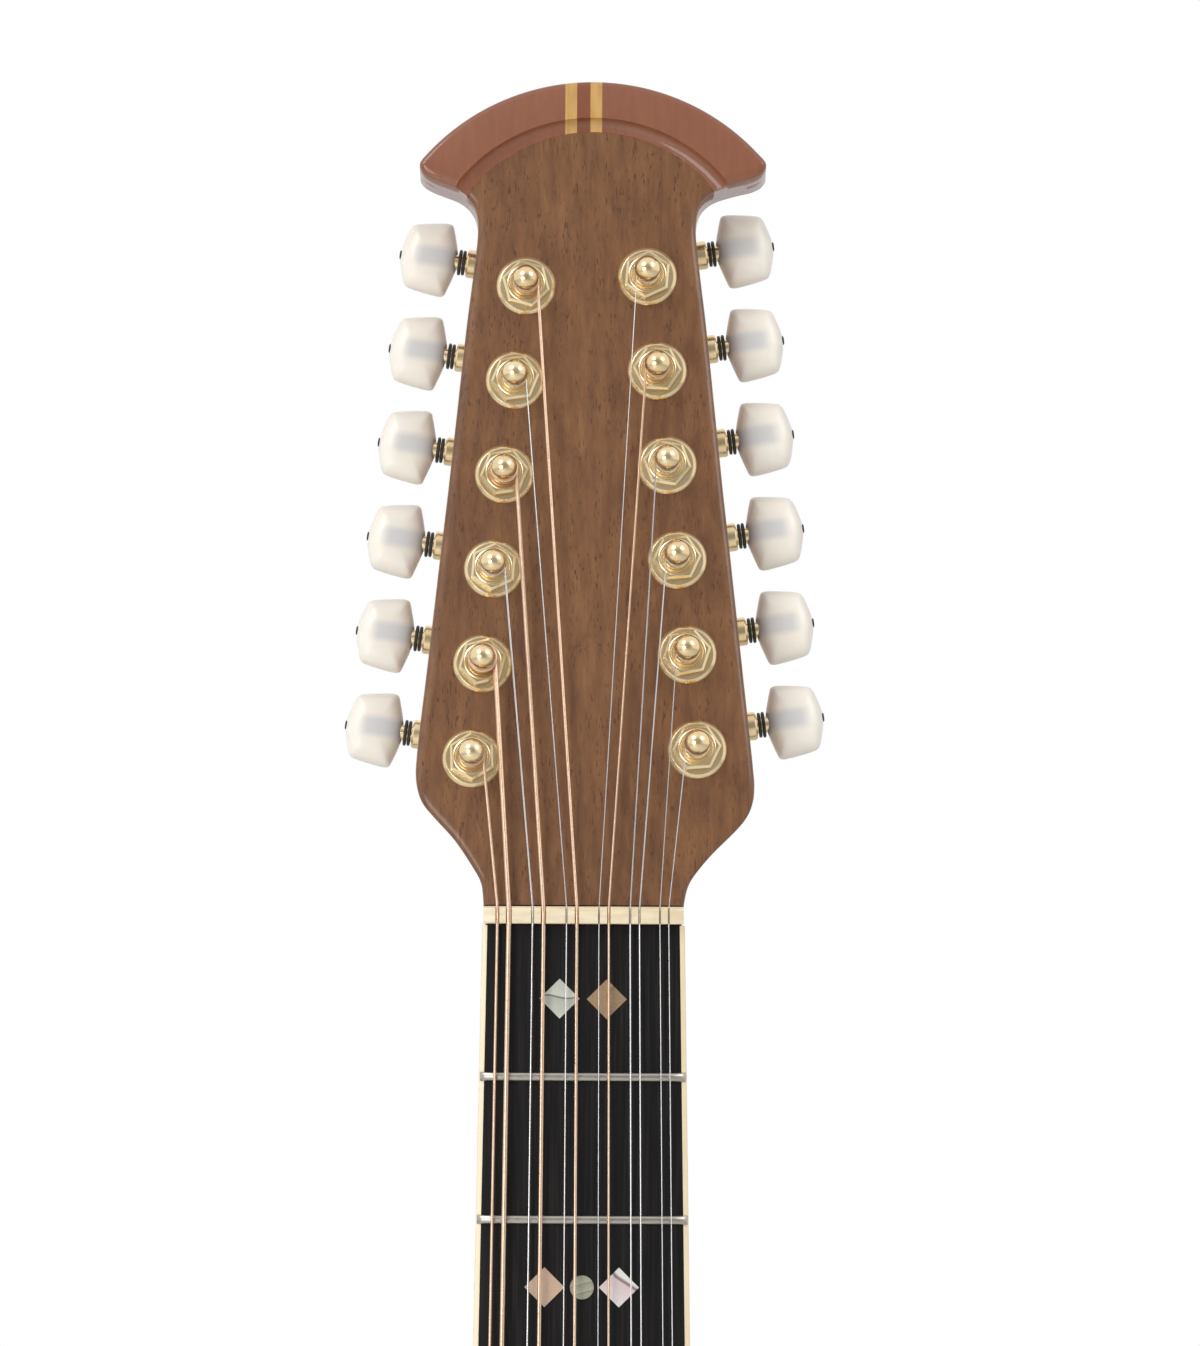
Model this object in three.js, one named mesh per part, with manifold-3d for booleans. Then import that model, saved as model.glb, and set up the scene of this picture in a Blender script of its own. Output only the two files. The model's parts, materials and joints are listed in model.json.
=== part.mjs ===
// A twelve-string, round-backed acoustic guitar, hanging head up.
// Frame, in millimetres: the origin is on the crown of the fretboard at the front edge of the nut.
// +Z runs up the head, -Z down the neck to the body, -Y is the playing side, +X the treble side.

import * as THREE from "three";
import { mergeVertices } from "three/addons/utils/BufferGeometryUtils.js";
import Module from "manifold-3d";

const wasm = await Module();
wasm.setup();

const radians = THREE.MathUtils.degToRad;
const range = (count) => Array.from({ length: count }, (_, index) => index);
const mix = THREE.MathUtils.lerp;

// ---------------------------------------------------------------- driving dimensions

const SEAT = 0.3; // gap between pieces that are glued, screwed or pressed home
const RUN = 0.35; // running clearance of a turning piece

// Strings and fretboard
const SCALE_LENGTH = 641;
const FRET_COUNT = 20;
const BODY_FRET = 14; // the neck meets the body here
const BOARD_WIDTH = 48.2; // at the nut
const BOARD_TAPER = 0.034; // widening per millimetre towards the body
const BOARD_THICKNESS = 6;
const BOARD_OVERHANG = 7; // board beyond the last fret
const CROWN_RADIUS = 305; // sideways radius of board, nut and saddle
const FRET_WIDTH = 2.2;
const FRET_HEIGHT = 1.1;

const NUT_WIDTH = 47.6;
const NUT_LENGTH = 4.8; // along the strings
const NUT_HEIGHT = 2.6; // above the board
const SLOT_FLOOR = 1.5; // height of the nut's slot floors above the board
const SLOT_CLEARANCE = 0.25; // beside a string in its slot

const STRING_SIDES = 8;
const STRINGS = [
  // one entry per string from the bass side: its pitch and its diameter
  { pitch: "e3", gauge: 0.69 },
  { pitch: "e2", gauge: 1.19 },
  { pitch: "a3", gauge: 0.46 },
  { pitch: "a2", gauge: 0.99 },
  { pitch: "d4", gauge: 0.3 },
  { pitch: "d3", gauge: 0.76 },
  { pitch: "g4", gauge: 0.24 },
  { pitch: "g3", gauge: 0.58 },
  { pitch: "b3", gauge: 0.36 },
  { pitch: "b3", gauge: 0.36 },
  { pitch: "e4", gauge: 0.26 },
  { pitch: "e4", gauge: 0.26 },
];
const FIRST_COURSE_X = -19.1; // middle of the lowest pair at the nut
const COURSE_STEP = 8.3; // to the next pair, which is COURSE_CLOSING nearer each time
const COURSE_CLOSING = 0.32;
const PAIR_SPACING = 2.7; // between a pair's two strings, PAIR_CLOSING less each time
const PAIR_CLOSING = 0.12;
const SADDLE_SPREAD = 1.415; // string spacing at the saddle over that at the nut

// Neck
const NECK_BACK_AT_NUT = 21.5; // depth of the neck's back behind the board's crown
const NECK_BACK_AT_HEEL = 24;
const NECK_SQUARENESS = 2.2; // superellipse exponent of the neck's section
const HEEL_DEPTH = 84;
const HEEL_WIDTH = 50;
const ROD_RADIUS = 2.7;
const ROD_INSET = 10; // rod's ends from the nut and from the body joint

// Head
const HEAD_TILT = 11.5; // degrees back from the neck
const HEAD_THICKNESS = 15;
const HEAD_FACE_DROP = 0.8; // face at the nut behind the board's crown
const VENEER_THICKNESS = 1;
const VENEER_INSET = 0.6;
const SHOULDER_HALF = 40.1;
const SHOULDER_HEIGHT = 30;
const WAIST_HALF = 26.1;
const WAIST_HEIGHT = 163;
const BASS_SHOULDER_LIFT = 2.6; // the bass shoulder sits this much higher
const CREST_RADIUS = 53.3;
const CREST_TOP = 200.6;
const CREST_OFFSET = 1.4; // the crest's middle is this far to the treble side
const CREST_RISE = 2.5; // crest's face in front of the veneer's
const COVE_OUTER_RADIUS = 41.5; // crest's face ends on this arc
const COVE_INNER_RADIUS = 37.5; // veneer ends on this arc
const COVE_TOP = 189; // top of the veneer's arc
const COVE_WIDTH = 3.6; // from one arc to the other at the middle

// Tuning machines: u runs out to the button, v up the head, the post points out of the face
const TUNERS_PER_SIDE = 6;
const TUNER_PITCH = 23.06; // up the head
const TUNER_FIRST_Z = { bass: 35.4, treble: 37.8 }; // lowest post above the nut
const TUNER_FIRST_X = 26.8;
const TUNER_STEP_X = 2.46; // each post is this much nearer the middle
const TUNER_TURN = 7.5; // degrees that a button's shaft rises outwards
const POST_RADIUS = 3;
const POST_BALL_RADIUS = 3.1;
const POST_BALL_HEIGHT = 9; // ball's centre above the face
const WRAP_LOW = 4.4; // the string's turns lie between these heights
const WRAP_HIGH = 7.6;
const SLEEVE_RADIUS = 4.6; // threaded sleeve through the head
const SLEEVE_CLEARANCE = 0.7;
const FLANGE_RADIUS = 7.15;
const FLANGE_THICKNESS = 1;
const HEX_FLATS = 10.2;
const HEX_HEIGHT = 2;
const GEAR_MODULE = 0.75;
const GEAR_TEETH = 14;
const GEAR_WIDTH = 4;
const WORM_PITCH_RADIUS = 2.75;
const WORM_LENGTH = 8;
const THREAD_STEPS = 6; // sections per turn of the thread
const TOOTH_HEIGHT = 0.65; // above the pitch line
const TOOTH_DEPTH = 0.94; // below it
const CASE_DEPTH = 9.6;
const CASE_HALF_WIDTH = 7.4;
const CASE_WALL = 1.3;
const STUB_END = 15.5; // the shaft's bearing ends this far from the post
const STUB_RADIUS = 3.4;
const SHAFT_RADIUS = 2;
const JOURNAL_RADIUS = 1.5; // shaft's inner end
const WASHER_RADIUS = 3.1;
const BUTTON_START = 17.8; // from the post
const BUTTON_LENGTH = 13.7;
const BUTTON_HALF_HEIGHT = 9;
const BUTTON_HALF_THICKNESS = 3.9;

// Body
const BODY_LENGTH = 486;
const BODY_DEPTH = 140; // of the bowl at the tail
const BOWL_SQUARENESS = 3.2;
const BOWL_WALL = 3;
const BOWL_NECK_SHARE = 0.72; // depth at the neck over that at the tail
const TOP_THICKNESS = 2.8;
const SOUNDHOLE_RADIUS = 50;
const SOUNDHOLE_FROM_BOARD = 59; // hole's centre below the end of the board
const BRACE_WIDTH = 8;
const BRACE_HEIGHT = 10;
const PLATE_BEYOND = 28; // bridge plate's ends beyond where its front meets the X braces

// Bridge
const BRIDGE_SPAN = 150;
const BRIDGE_BLOCK_SPAN = 84;
const BRIDGE_HEIGHT = 8.5;
const BRIDGE_WING_HEIGHT = 4;
const BRIDGE_FRONT = 9; // in front of the saddle
const BRIDGE_BACK = 22; // behind it
const SADDLE_THICKNESS = 3;
const SADDLE_SPAN = 74;
const SADDLE_RISE = 3.2; // above the bridge
const SADDLE_SLOT_DEPTH = 5;
const ANCHOR_HEIGHT = 4.8; // string holes above the soundboard
const ANCHOR_RADIUS = 1.1;
const BALL_END_RADIUS = 1.3;
const BALL_END_LENGTH = 3;

const STRAP_BUTTON_RADIUS = 7;
const STRAP_BUTTON_HEIGHT = 12;
const TAIL_BUTTON_DEPTH = 45; // behind the soundboard
const TAIL_BUTTON_SINK = 8; // its base is cut to the bowl this far in from the tail

// ---------------------------------------------------------------- places worked out from them

const fretZ = (fret) => -SCALE_LENGTH * (1 - 2 ** (-fret / 12));
const crown = (x) => (x * x) / (2 * CROWN_RADIUS);
const boardWidth = (z) => BOARD_WIDTH - BOARD_TAPER * z;
const BOARD_END = fretZ(FRET_COUNT) - BOARD_OVERHANG;
const JOINT_Z = fretZ(BODY_FRET);
const NECK_TOP = BOARD_THICKNESS + SEAT;
const TOP_FACE = BOARD_THICKNESS + SEAT;
const RIM = TOP_FACE + TOP_THICKNESS + SEAT;
const SOUNDHOLE_Z = BOARD_END - SOUNDHOLE_FROM_BOARD;
const SADDLE_Z = -SCALE_LENGTH;
const BRIDGE_TOP = TOP_FACE - SEAT - BRIDGE_HEIGHT;
const SADDLE_TOP = BRIDGE_TOP - SADDLE_RISE;
const ANCHOR_Y = TOP_FACE - ANCHOR_HEIGHT;
const TAIL_Z = JOINT_Z - BODY_LENGTH;

const GEAR_RADIUS = (GEAR_MODULE * GEAR_TEETH) / 2;
const WORM_PITCH = Math.PI * GEAR_MODULE;
const WORM_OFFSET = GEAR_RADIUS + WORM_PITCH_RADIUS; // post's axis to worm's axis
const CASE_FRONT = HEAD_THICKNESS + SEAT;
const CASE_BACK = CASE_FRONT + CASE_DEPTH;
const GEAR_DEPTH = CASE_FRONT + CASE_DEPTH / 2; // mid-plane of gear and worm behind the face
const CAVITY_RADIUS = GEAR_RADIUS + TOOTH_HEIGHT + 2 * RUN;
const WORM_CAVITY_RADIUS = WORM_PITCH_RADIUS + TOOTH_HEIGHT + 1.6 * RUN;

// ---------------------------------------------------------------- geometry helpers

// A closed three.js geometry as a manifold-3d solid.
function solidOf(geometry) {
  const bare = geometry.index ? geometry.toNonIndexed() : geometry.clone();
  bare.deleteAttribute("normal");
  bare.deleteAttribute("uv");
  const merged = mergeVertices(bare, 1e-4);
  return new wasm.Manifold(
    new wasm.Mesh({
      numProp: 3,
      vertProperties: merged.attributes.position.array,
      triVerts: new Uint32Array(merged.index.array),
    }),
  );
}

// A manifold-3d solid as a three.js geometry.
function geometryOf(solid) {
  const mesh = solid.getMesh();
  const positions = new Float32Array(mesh.numVert * 3);
  for (const v of range(mesh.numVert)) {
    positions.set(mesh.vertProperties.subarray(v * mesh.numProp, v * mesh.numProp + 3), v * 3);
  }
  const geometry = new THREE.BufferGeometry()
    .setAttribute("position", new THREE.BufferAttribute(positions, 3))
    .setIndex(new THREE.BufferAttribute(mesh.triVerts, 1));
  geometry.computeVertexNormals();
  return geometry;
}

const join = (...solids) => solids.reduce((all, solid) => all.add(solid));
const cut = (solid, ...tools) => tools.reduce((left, tool) => left.subtract(tool), solid);

// A solid through rings of points, one ring after another, all with the same number of points.
function loft(rings) {
  const count = rings[0].length;
  const positions = rings.flat().flatMap((p) => [p.x, p.y, p.z]);
  const faces = [];
  for (const r of range(rings.length - 1)) {
    for (const k of range(count)) {
      const [a, b] = [r * count + k, r * count + ((k + 1) % count)];
      faces.push([a, b, b + count], [a, b + count, a + count]);
    }
  }
  // both ends are closed in the first ring's pattern that uses every point
  const pattern = (ring) => {
    const normal = new THREE.Vector3();
    ring.forEach((p, k) => normal.add(p.clone().cross(ring[(k + 1) % count])));
    const flat = new THREE.Quaternion().setFromUnitVectors(normal.normalize(), new THREE.Vector3(0, 0, 1));
    const end = ring.map((p) => p.clone().applyQuaternion(flat)).map((p) => new THREE.Vector2(p.x, p.y));
    return THREE.ShapeUtils.triangulateShape(end, []);
  };
  const last = (rings.length - 1) * count;
  for (const [a, b, c] of rings.map(pattern).find((faces) => faces.length === count - 2)) {
    faces.push([a, c, b], [a + last, b + last, c + last]);
  }

  const corner = (k) => new THREE.Vector3().fromArray(positions, 3 * k);
  const volume = faces.reduce(
    (sum, [a, b, c]) => sum + corner(a).dot(corner(b).clone().cross(corner(c))),
    0,
  );
  const outward = volume < 0 ? faces.map(([a, b, c]) => [a, c, b]) : faces;
  const geometry = new THREE.BufferGeometry();
  geometry.setAttribute("position", new THREE.Float32BufferAttribute(positions, 3));
  geometry.setIndex(outward.flat());
  return solidOf(geometry);
}

// An outline in x and z carried from one depth y to another.
function slab(outline, front, back) {
  return loft([front, back].map((y) => outline.map((p) => new THREE.Vector3(p.x, y, p.y))));
}

function box(x, y, z) {
  const geometry = new THREE.BoxGeometry(x[1] - x[0], y[1] - y[0], z[1] - z[0]);
  geometry.translate((x[0] + x[1]) / 2, (y[0] + y[1]) / 2, (z[0] + z[1]) / 2);
  return solidOf(geometry);
}

// A turned solid about Y, from [radius, y] pairs that start and end on the axis.
function turned(profile, sides) {
  return solidOf(new THREE.LatheGeometry(profile.map(([r, y]) => new THREE.Vector2(r, y)), sides));
}

const cylinderY = (radius, from, to, sides, x = 0, z = 0) =>
  turned([[0, from], [radius, from], [radius, to], [0, to]], sides).translate([x, 0, z]);

// The same, but about X: y in the profile becomes x.
const turnedX = (profile, sides, y, z) => turned(profile, sides).rotate([0, 0, -90]).translate([0, y, z]);

const cylinderX = (radius, from, to, sides, y, z) =>
  turnedX([[0, from], [radius, from], [radius, to], [0, to]], sides, y, z);

// Points of an outline moved inwards by a distance; the outline runs anticlockwise.
function inset(outline, distance) {
  const count = outline.length;
  return outline.map((point, k) => {
    const before = outline[(k + count - 1) % count];
    const after = outline[(k + 1) % count];
    const along = after.clone().sub(before).normalize();
    return new THREE.Vector2(point.x - along.y * distance, point.y + along.x * distance);
  });
}

const splinePoints = (points, pieces) =>
  new THREE.SplineCurve(points.map(([x, y]) => new THREE.Vector2(x, y))).getPoints(pieces);

const wood = (color, roughness = 0.45) => new THREE.MeshStandardMaterial({ color, roughness });
const metal = (color, roughness = 0.25) =>
  new THREE.MeshStandardMaterial({ color, roughness, metalness: 1 });

const GOLD = metal("#d9b463");
const STEEL = metal("#c9c9c6");
const BRONZE = metal("#d8a078", 0.35);
const BONE = new THREE.MeshStandardMaterial({ color: "#ece0bf", roughness: 0.4 });
const PEARLOID = new THREE.MeshStandardMaterial({ color: "#e6e2d8", roughness: 0.35 });

function named(name, solid, material) {
  const mesh = new THREE.Mesh(geometryOf(solid), material);
  mesh.name = name;
  return mesh;
}

// ---------------------------------------------------------------- head outline

// One side of the head from the nut to its crest, as half-widths and heights.
function headSide(lift, reach) {
  const shoulder = splinePoints(
    [
      [NUT_WIDTH / 2, 0],
      [NUT_WIDTH / 2 + 0.4, 4 + 0.2 * lift],
      [mix(NUT_WIDTH / 2, SHOULDER_HALF, 0.16), 8.2 + 0.5 * lift],
      [mix(NUT_WIDTH / 2, SHOULDER_HALF, 0.41), 13.4 + lift],
      [mix(NUT_WIDTH / 2, SHOULDER_HALF, 0.7), 18 + lift],
      [mix(NUT_WIDTH / 2, SHOULDER_HALF, 0.915), 23 + lift],
      [SHOULDER_HALF, SHOULDER_HEIGHT + lift / 2],
    ],
    10,
  );
  const wing = splinePoints(
    [
      [WAIST_HALF + 1, WAIST_HEIGHT - 12],
      [WAIST_HALF, WAIST_HEIGHT],
      [WAIST_HALF + 0.3, 169],
      [WAIST_HALF + 1.6, 172],
      [WAIST_HALF + 4.4, 174.4],
      [reach - 7.5, 176.1],
      [reach - 2.4, 177.4],
      [reach - 0.2, 179.8],
      [reach - 0.6, 182.7],
    ],
    13,
  );
  return [...shoulder, ...wing];
}

function headOutline() {
  const wingReach = 41.4; // from the crest's own middle
  const treble = headSide(0, wingReach + CREST_OFFSET);
  const bass = headSide(BASS_SHOULDER_LIFT, wingReach - CREST_OFFSET);
  const sweep = Math.asin((wingReach - 2.6) / CREST_RADIUS);
  const crest = range(13).map((k) => {
    const angle = mix(sweep, -sweep, k / 12);
    return new THREE.Vector2(
      CREST_OFFSET + CREST_RADIUS * Math.sin(angle),
      CREST_TOP - CREST_RADIUS * (1 - Math.cos(angle)),
    );
  });
  return [...treble, ...crest, ...bass.reverse().map((p) => new THREE.Vector2(-p.x, p.y))];
}

// A disc whose edge is one of the crest's inner arcs, reaching far below it.
const coveDisc = (radius, top, front, back) =>
  join(
    cylinderY(radius, front, back, 48, CREST_OFFSET, top - radius),
    box([CREST_OFFSET - radius, CREST_OFFSET + radius], [front, back], [-10, top - radius]),
  );

// ---------------------------------------------------------------- neck

// A flat-topped, round-backed neck section at height z.
function neckRing(width, front, back, place) {
  const pieces = 10;
  const power = 2 / NECK_SQUARENESS;
  return range(pieces + 1).map((k) => {
    const angle = (Math.PI * k) / pieces;
    const x = (width / 2) * Math.sign(Math.cos(angle)) * Math.abs(Math.cos(angle)) ** power;
    return place(x, mix(front, back, Math.sin(angle) ** power));
  });
}

function neckShaft() {
  const straight = (z) => (x, y) => new THREE.Vector3(x, y, z);
  const backAt = (z) => mix(NECK_BACK_AT_NUT, NECK_BACK_AT_HEEL, Math.min(1, z / fretZ(12)));
  const heelEnd = JOINT_Z - 45; // runs on into the bowl, and is cut by it
  const heel = [
    // height above the joint, share of the way from the neck's back to the heel's
    [36, 0],
    [24, 0.07],
    [14, 0.24],
    [7, 0.52],
    [2, 0.82],
    [-5, 1.08],
  ].map(([rise, share]) => {
    const z = JOINT_Z + rise;
    const back = mix(backAt(z), HEEL_DEPTH, share);
    return neckRing(mix(boardWidth(z), HEEL_WIDTH, Math.min(1, share)), NECK_TOP, back, straight(z));
  });
  const end = neckRing(HEEL_WIDTH, NECK_TOP, mix(NECK_BACK_AT_HEEL, HEEL_DEPTH, 1.08), straight(heelEnd));
  const above = [0.62, 0.3, 0].map((share) => {
    const z = JOINT_Z * share;
    return neckRing(boardWidth(z) - 0.4, NECK_TOP, backAt(z), straight(z));
  });
  return loft([end, ...heel.reverse(), ...above]);
}

// The rounded swelling behind the nut, where the neck runs into the back of the head.
function volute(toRow) {
  const front = VENEER_THICKNESS + SEAT + 2;
  const sections = [
    // height up the head, width, depth of the back
    [-12, NUT_WIDTH - 1.2, NECK_BACK_AT_NUT + 1.2],
    [2, NUT_WIDTH - 1, NECK_BACK_AT_NUT + 0.6],
    [14, NUT_WIDTH - 2, HEAD_THICKNESS + 3.4],
    [30, NUT_WIDTH - 8, HEAD_THICKNESS + 0.6],
    [42, NUT_WIDTH - 20, HEAD_THICKNESS - 1],
  ];
  return loft(
    sections.map(([z, width, back]) =>
      neckRing(width, front + (z < 0 ? 6 : 2), back, (x, y) => new THREE.Vector3(x, y, z)),
    ),
  ).transform(toRow);
}

function headCore(outline) {
  const front = VENEER_THICKNESS + SEAT;
  const core = loft(
    [
      // depth behind the face, distance in from the outline
      [front, 0],
      [HEAD_THICKNESS - 2.2, 0],
      [HEAD_THICKNESS, 1.6],
    ].map(([y, distance]) => inset(outline, distance).map((p) => new THREE.Vector3(p.x, y, p.y))),
  );
  const crest = cut(
    slab(outline, -CREST_RISE, front + 1),
    loft(
      // the cove between the crest's face and the veneer
      [
        [COVE_OUTER_RADIUS, COVE_TOP + COVE_WIDTH, -CREST_RISE - 1],
        [COVE_OUTER_RADIUS, COVE_TOP + COVE_WIDTH, -CREST_RISE],
        [COVE_INNER_RADIUS, COVE_TOP, 0],
        [COVE_INNER_RADIUS, COVE_TOP, front + 2],
      ].map(([radius, top, y]) => [
        ...range(25).map((k) => {
          const angle = mix(-90, 90, k / 24);
          return new THREE.Vector3(
            CREST_OFFSET + radius * Math.sin(radians(angle)) * (Math.abs(angle) === 90 ? 1.6 : 1),
            y,
            top - radius * (1 - Math.cos(radians(angle))) * (Math.abs(angle) === 90 ? 0.96 : 1),
          );
        }),
        new THREE.Vector3(CREST_OFFSET + 1.6 * radius, y, -10),
        new THREE.Vector3(CREST_OFFSET - 1.6 * radius, y, -10),
      ]),
    ),
  );
  return join(core, crest);
}

// ---------------------------------------------------------------- fretboard, nut, rod

function boardSection(width, front, back, z, pieces) {
  const edge = range(pieces + 1).map((k) => mix(-width / 2, width / 2, k / pieces));
  return [
    ...edge.map((x) => new THREE.Vector3(x, front + crown(x), z)),
    new THREE.Vector3(width / 2, back, z),
    new THREE.Vector3(-width / 2, back, z),
  ];
}

function fretboard() {
  const board = loft([0, BOARD_END].map((z) => boardSection(boardWidth(z), 0, BOARD_THICKNESS, z, 4)));
  const frets = range(FRET_COUNT).map((k) => {
    const z = fretZ(k + 1);
    const width = boardWidth(z) - 0.6;
    return loft(
      [
        [-0.5, 0.3],
        [-0.22, -FRET_HEIGHT],
        [0.22, -FRET_HEIGHT],
        [0.5, 0.3],
      ].map(([share, front]) => {
        return boardSection(width, front, 2, z + share * FRET_WIDTH, 2);
      }),
    );
  });
  return join(board, ...frets);
}

const courseX = (course) =>
  FIRST_COURSE_X + course * COURSE_STEP - (COURSE_CLOSING * course * (course - 1)) / 2;

function stringX(index) {
  const course = Math.floor(index / 2);
  const half = (PAIR_SPACING - PAIR_CLOSING * course) / 2;
  return courseX(course) + (index % 2 ? half : -half);
}

function nut() {
  const body = loft(
    [SEAT, NUT_LENGTH - SEAT].map((z) => boardSection(NUT_WIDTH, -NUT_HEIGHT, BOARD_THICKNESS, z, 4)),
  );
  const slots = STRINGS.map(({ gauge }, index) => {
    const x = stringX(index);
    const half = gauge / 2 + SLOT_CLEARANCE;
    return box([x - half, x + half], [-NUT_HEIGHT - 1, crown(x) - SLOT_FLOOR], [-1, NUT_LENGTH + 1]);
  });
  return cut(body, ...slots);
}

const rodSpan = [JOINT_Z + ROD_INSET, -ROD_INSET];
const rodDepth = NECK_TOP + ROD_RADIUS + 2 * SEAT;

const trussRod = () => cylinderY(ROD_RADIUS, rodSpan[0], rodSpan[1], 10).rotate([90, 0, 0]).translate([0, rodDepth, 0]);

const rodChannel = () =>
  box(
    [-ROD_RADIUS - SEAT, ROD_RADIUS + SEAT],
    [NECK_TOP - 1, rodDepth + ROD_RADIUS + SEAT],
    [rodSpan[0] - SEAT, rodSpan[1] + SEAT],
  );

// ---------------------------------------------------------------- body

// The body's outline in x and z, moved outwards by a distance.
function bodyOutline(outwards) {
  const half = [
    // half-width, share of the body's length from the neck
    [0, 0],
    [52, 0.004],
    [98, 0.036],
    [132, 0.11],
    [146, 0.215],
    [135, 0.33],
    [119, 0.435],
    [136, 0.535],
    [174, 0.63],
    [200, 0.745],
    [186, 0.875],
    [138, 0.956],
    [72, 0.992],
  ].map(([x, share]) => new THREE.Vector3(x, JOINT_Z - share * BODY_LENGTH, 0));
  const mirrored = half.slice(1).reverse().map((p) => new THREE.Vector3(-p.x, p.y, 0));
  const tail = new THREE.Vector3(0, TAIL_Z, 0);
  const loop = new THREE.CatmullRomCurve3([...half, tail, ...mirrored], true);
  const points = loop.getSpacedPoints(40).slice(0, 40).map((p) => new THREE.Vector2(p.x, p.y));
  return inset(points.reverse(), -outwards);
}

const bowlMiddle = JOINT_Z - 0.56 * BODY_LENGTH;

// The bowl's solid shape, moved outwards by a distance on every side.
function bowlForm(outwards, rim) {
  const power = 2 / BOWL_SQUARENESS;
  const rings = [0, 22, 42, 60, 76, 87].map((angle) => {
    const scale = Math.cos(radians(angle)) ** power;
    return bodyOutline(outwards).map((p) => {
      const z = mix(bowlMiddle, p.y, scale);
      const depth = BODY_DEPTH * mix(1, BOWL_NECK_SHARE, (z - TAIL_Z) / BODY_LENGTH) + outwards;
      return new THREE.Vector3(p.x * scale, RIM + depth * Math.sin(radians(angle)) ** power, z);
    });
  });
  const mouth = rings[0].map((p) => new THREE.Vector3(p.x, rim, p.z));
  return loft(rim < RIM ? [mouth, ...rings] : rings);
}

const bowl = () => cut(bowlForm(0, RIM), bowlForm(-BOWL_WALL, RIM - 5));

function soundboard() {
  const board = slab(bodyOutline(0), TOP_FACE, TOP_FACE + TOP_THICKNESS);
  return cut(board, cylinderY(SOUNDHOLE_RADIUS, TOP_FACE - 5, TOP_FACE + 10, 28, 0, SOUNDHOLE_Z));
}

// A bar glued under the soundboard between two points in x and z.
function brace(from, to, width, height) {
  const run = new THREE.Vector2(to[0] - from[0], to[1] - from[1]);
  const bar = box([-width / 2, width / 2], [0, height], [0, run.length()]);
  const turn = THREE.MathUtils.radToDeg(Math.atan2(run.x, run.y));
  return bar.rotate([0, turn, 0]).translate([from[0], RIM, from[1]]);
}

function bracing() {
  const crossing = SOUNDHOLE_Z - SOUNDHOLE_RADIUS - 30;
  const spread = Math.tan(radians(48));
  const arm = (side) =>
    brace([side * 88, crossing + 88 / spread], [-side * 142, crossing - 142 / spread], BRACE_WIDTH, BRACE_HEIGHT);
  const cheekX = SOUNDHOLE_RADIUS + 12;
  const upper = SOUNDHOLE_Z + SOUNDHOLE_RADIUS + 15;
  const plateFront = SADDLE_Z + BRIDGE_FRONT;
  const plateEnd = (crossing - plateFront) * spread + PLATE_BEYOND;
  const cheek = (side) =>
    brace([side * cheekX, crossing + cheekX / spread], [side * cheekX, upper], BRACE_WIDTH, BRACE_HEIGHT - 3);
  return join(
    arm(1),
    arm(-1),
    cheek(1),
    cheek(-1),
    brace([-112, upper], [112, upper], BRACE_WIDTH * 1.5, BRACE_HEIGHT),
    box([-plateEnd, plateEnd], [RIM, RIM + 3], [SADDLE_Z - BRIDGE_BACK, plateFront]),
  );
}

// A strap button along +Y with its base at y = 0.
const strapButton = () =>
  turned(
    [
      [0, 0],
      [STRAP_BUTTON_RADIUS * 0.8, 0],
      [STRAP_BUTTON_RADIUS * 0.72, 1.6],
      [STRAP_BUTTON_RADIUS * 0.45, 4],
      [STRAP_BUTTON_RADIUS * 0.45, STRAP_BUTTON_HEIGHT - 4.5],
      [STRAP_BUTTON_RADIUS, STRAP_BUTTON_HEIGHT - 2],
      [STRAP_BUTTON_RADIUS * 0.93, STRAP_BUTTON_HEIGHT],
      [0, STRAP_BUTTON_HEIGHT],
    ],
    14,
  );

// ---------------------------------------------------------------- bridge and saddle

function bridge() {
  const base = TOP_FACE - SEAT;
  const across = (profile, span) =>
    loft([-span / 2, span / 2].map((x) => profile.map(([z, y]) => new THREE.Vector3(x, y, SADDLE_Z + z))));
  const valley = ANCHOR_Y + 1.2;
  const slot = SADDLE_THICKNESS / 2 + SEAT;
  const block = across(
    [
      [BRIDGE_FRONT, base],
      [BRIDGE_FRONT, base - 3],
      [BRIDGE_FRONT - 4, BRIDGE_TOP],
      [slot, BRIDGE_TOP],
      [-slot, BRIDGE_TOP],
      [-slot - 1, BRIDGE_TOP + 1.6],
      [-slot - 4.5, valley],
      [-slot - 7, valley],
      [-slot - 7.6, BRIDGE_TOP],
      [-BRIDGE_BACK + 2, BRIDGE_TOP],
      [-BRIDGE_BACK, BRIDGE_TOP + 2],
      [-BRIDGE_BACK, base],
    ],
    BRIDGE_BLOCK_SPAN,
  );
  const wings = across(
    [
      [BRIDGE_FRONT, base],
      [BRIDGE_FRONT, base - BRIDGE_WING_HEIGHT + 1],
      [BRIDGE_FRONT - 3, base - BRIDGE_WING_HEIGHT],
      [-BRIDGE_BACK + 3, base - BRIDGE_WING_HEIGHT],
      [-BRIDGE_BACK, base - BRIDGE_WING_HEIGHT + 1],
      [-BRIDGE_BACK, base],
    ],
    BRIDGE_SPAN,
  );
  const saddleSlot = box(
    [-SADDLE_SPAN / 2 - SEAT, SADDLE_SPAN / 2 + SEAT],
    [BRIDGE_TOP - 5, BRIDGE_TOP + SADDLE_SLOT_DEPTH],
    [SADDLE_Z - slot, SADDLE_Z + slot],
  );
  const anchors = STRINGS.map((_, index) =>
    cylinderY(ANCHOR_RADIUS, 0, BRIDGE_BACK, 6)
      .rotate([-90, 0, 0])
      .translate([stringX(index) * SADDLE_SPREAD, ANCHOR_Y, SADDLE_Z - slot - 5.5]),
  );
  return cut(join(block, wings), saddleSlot, ...anchors);
}

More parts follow.
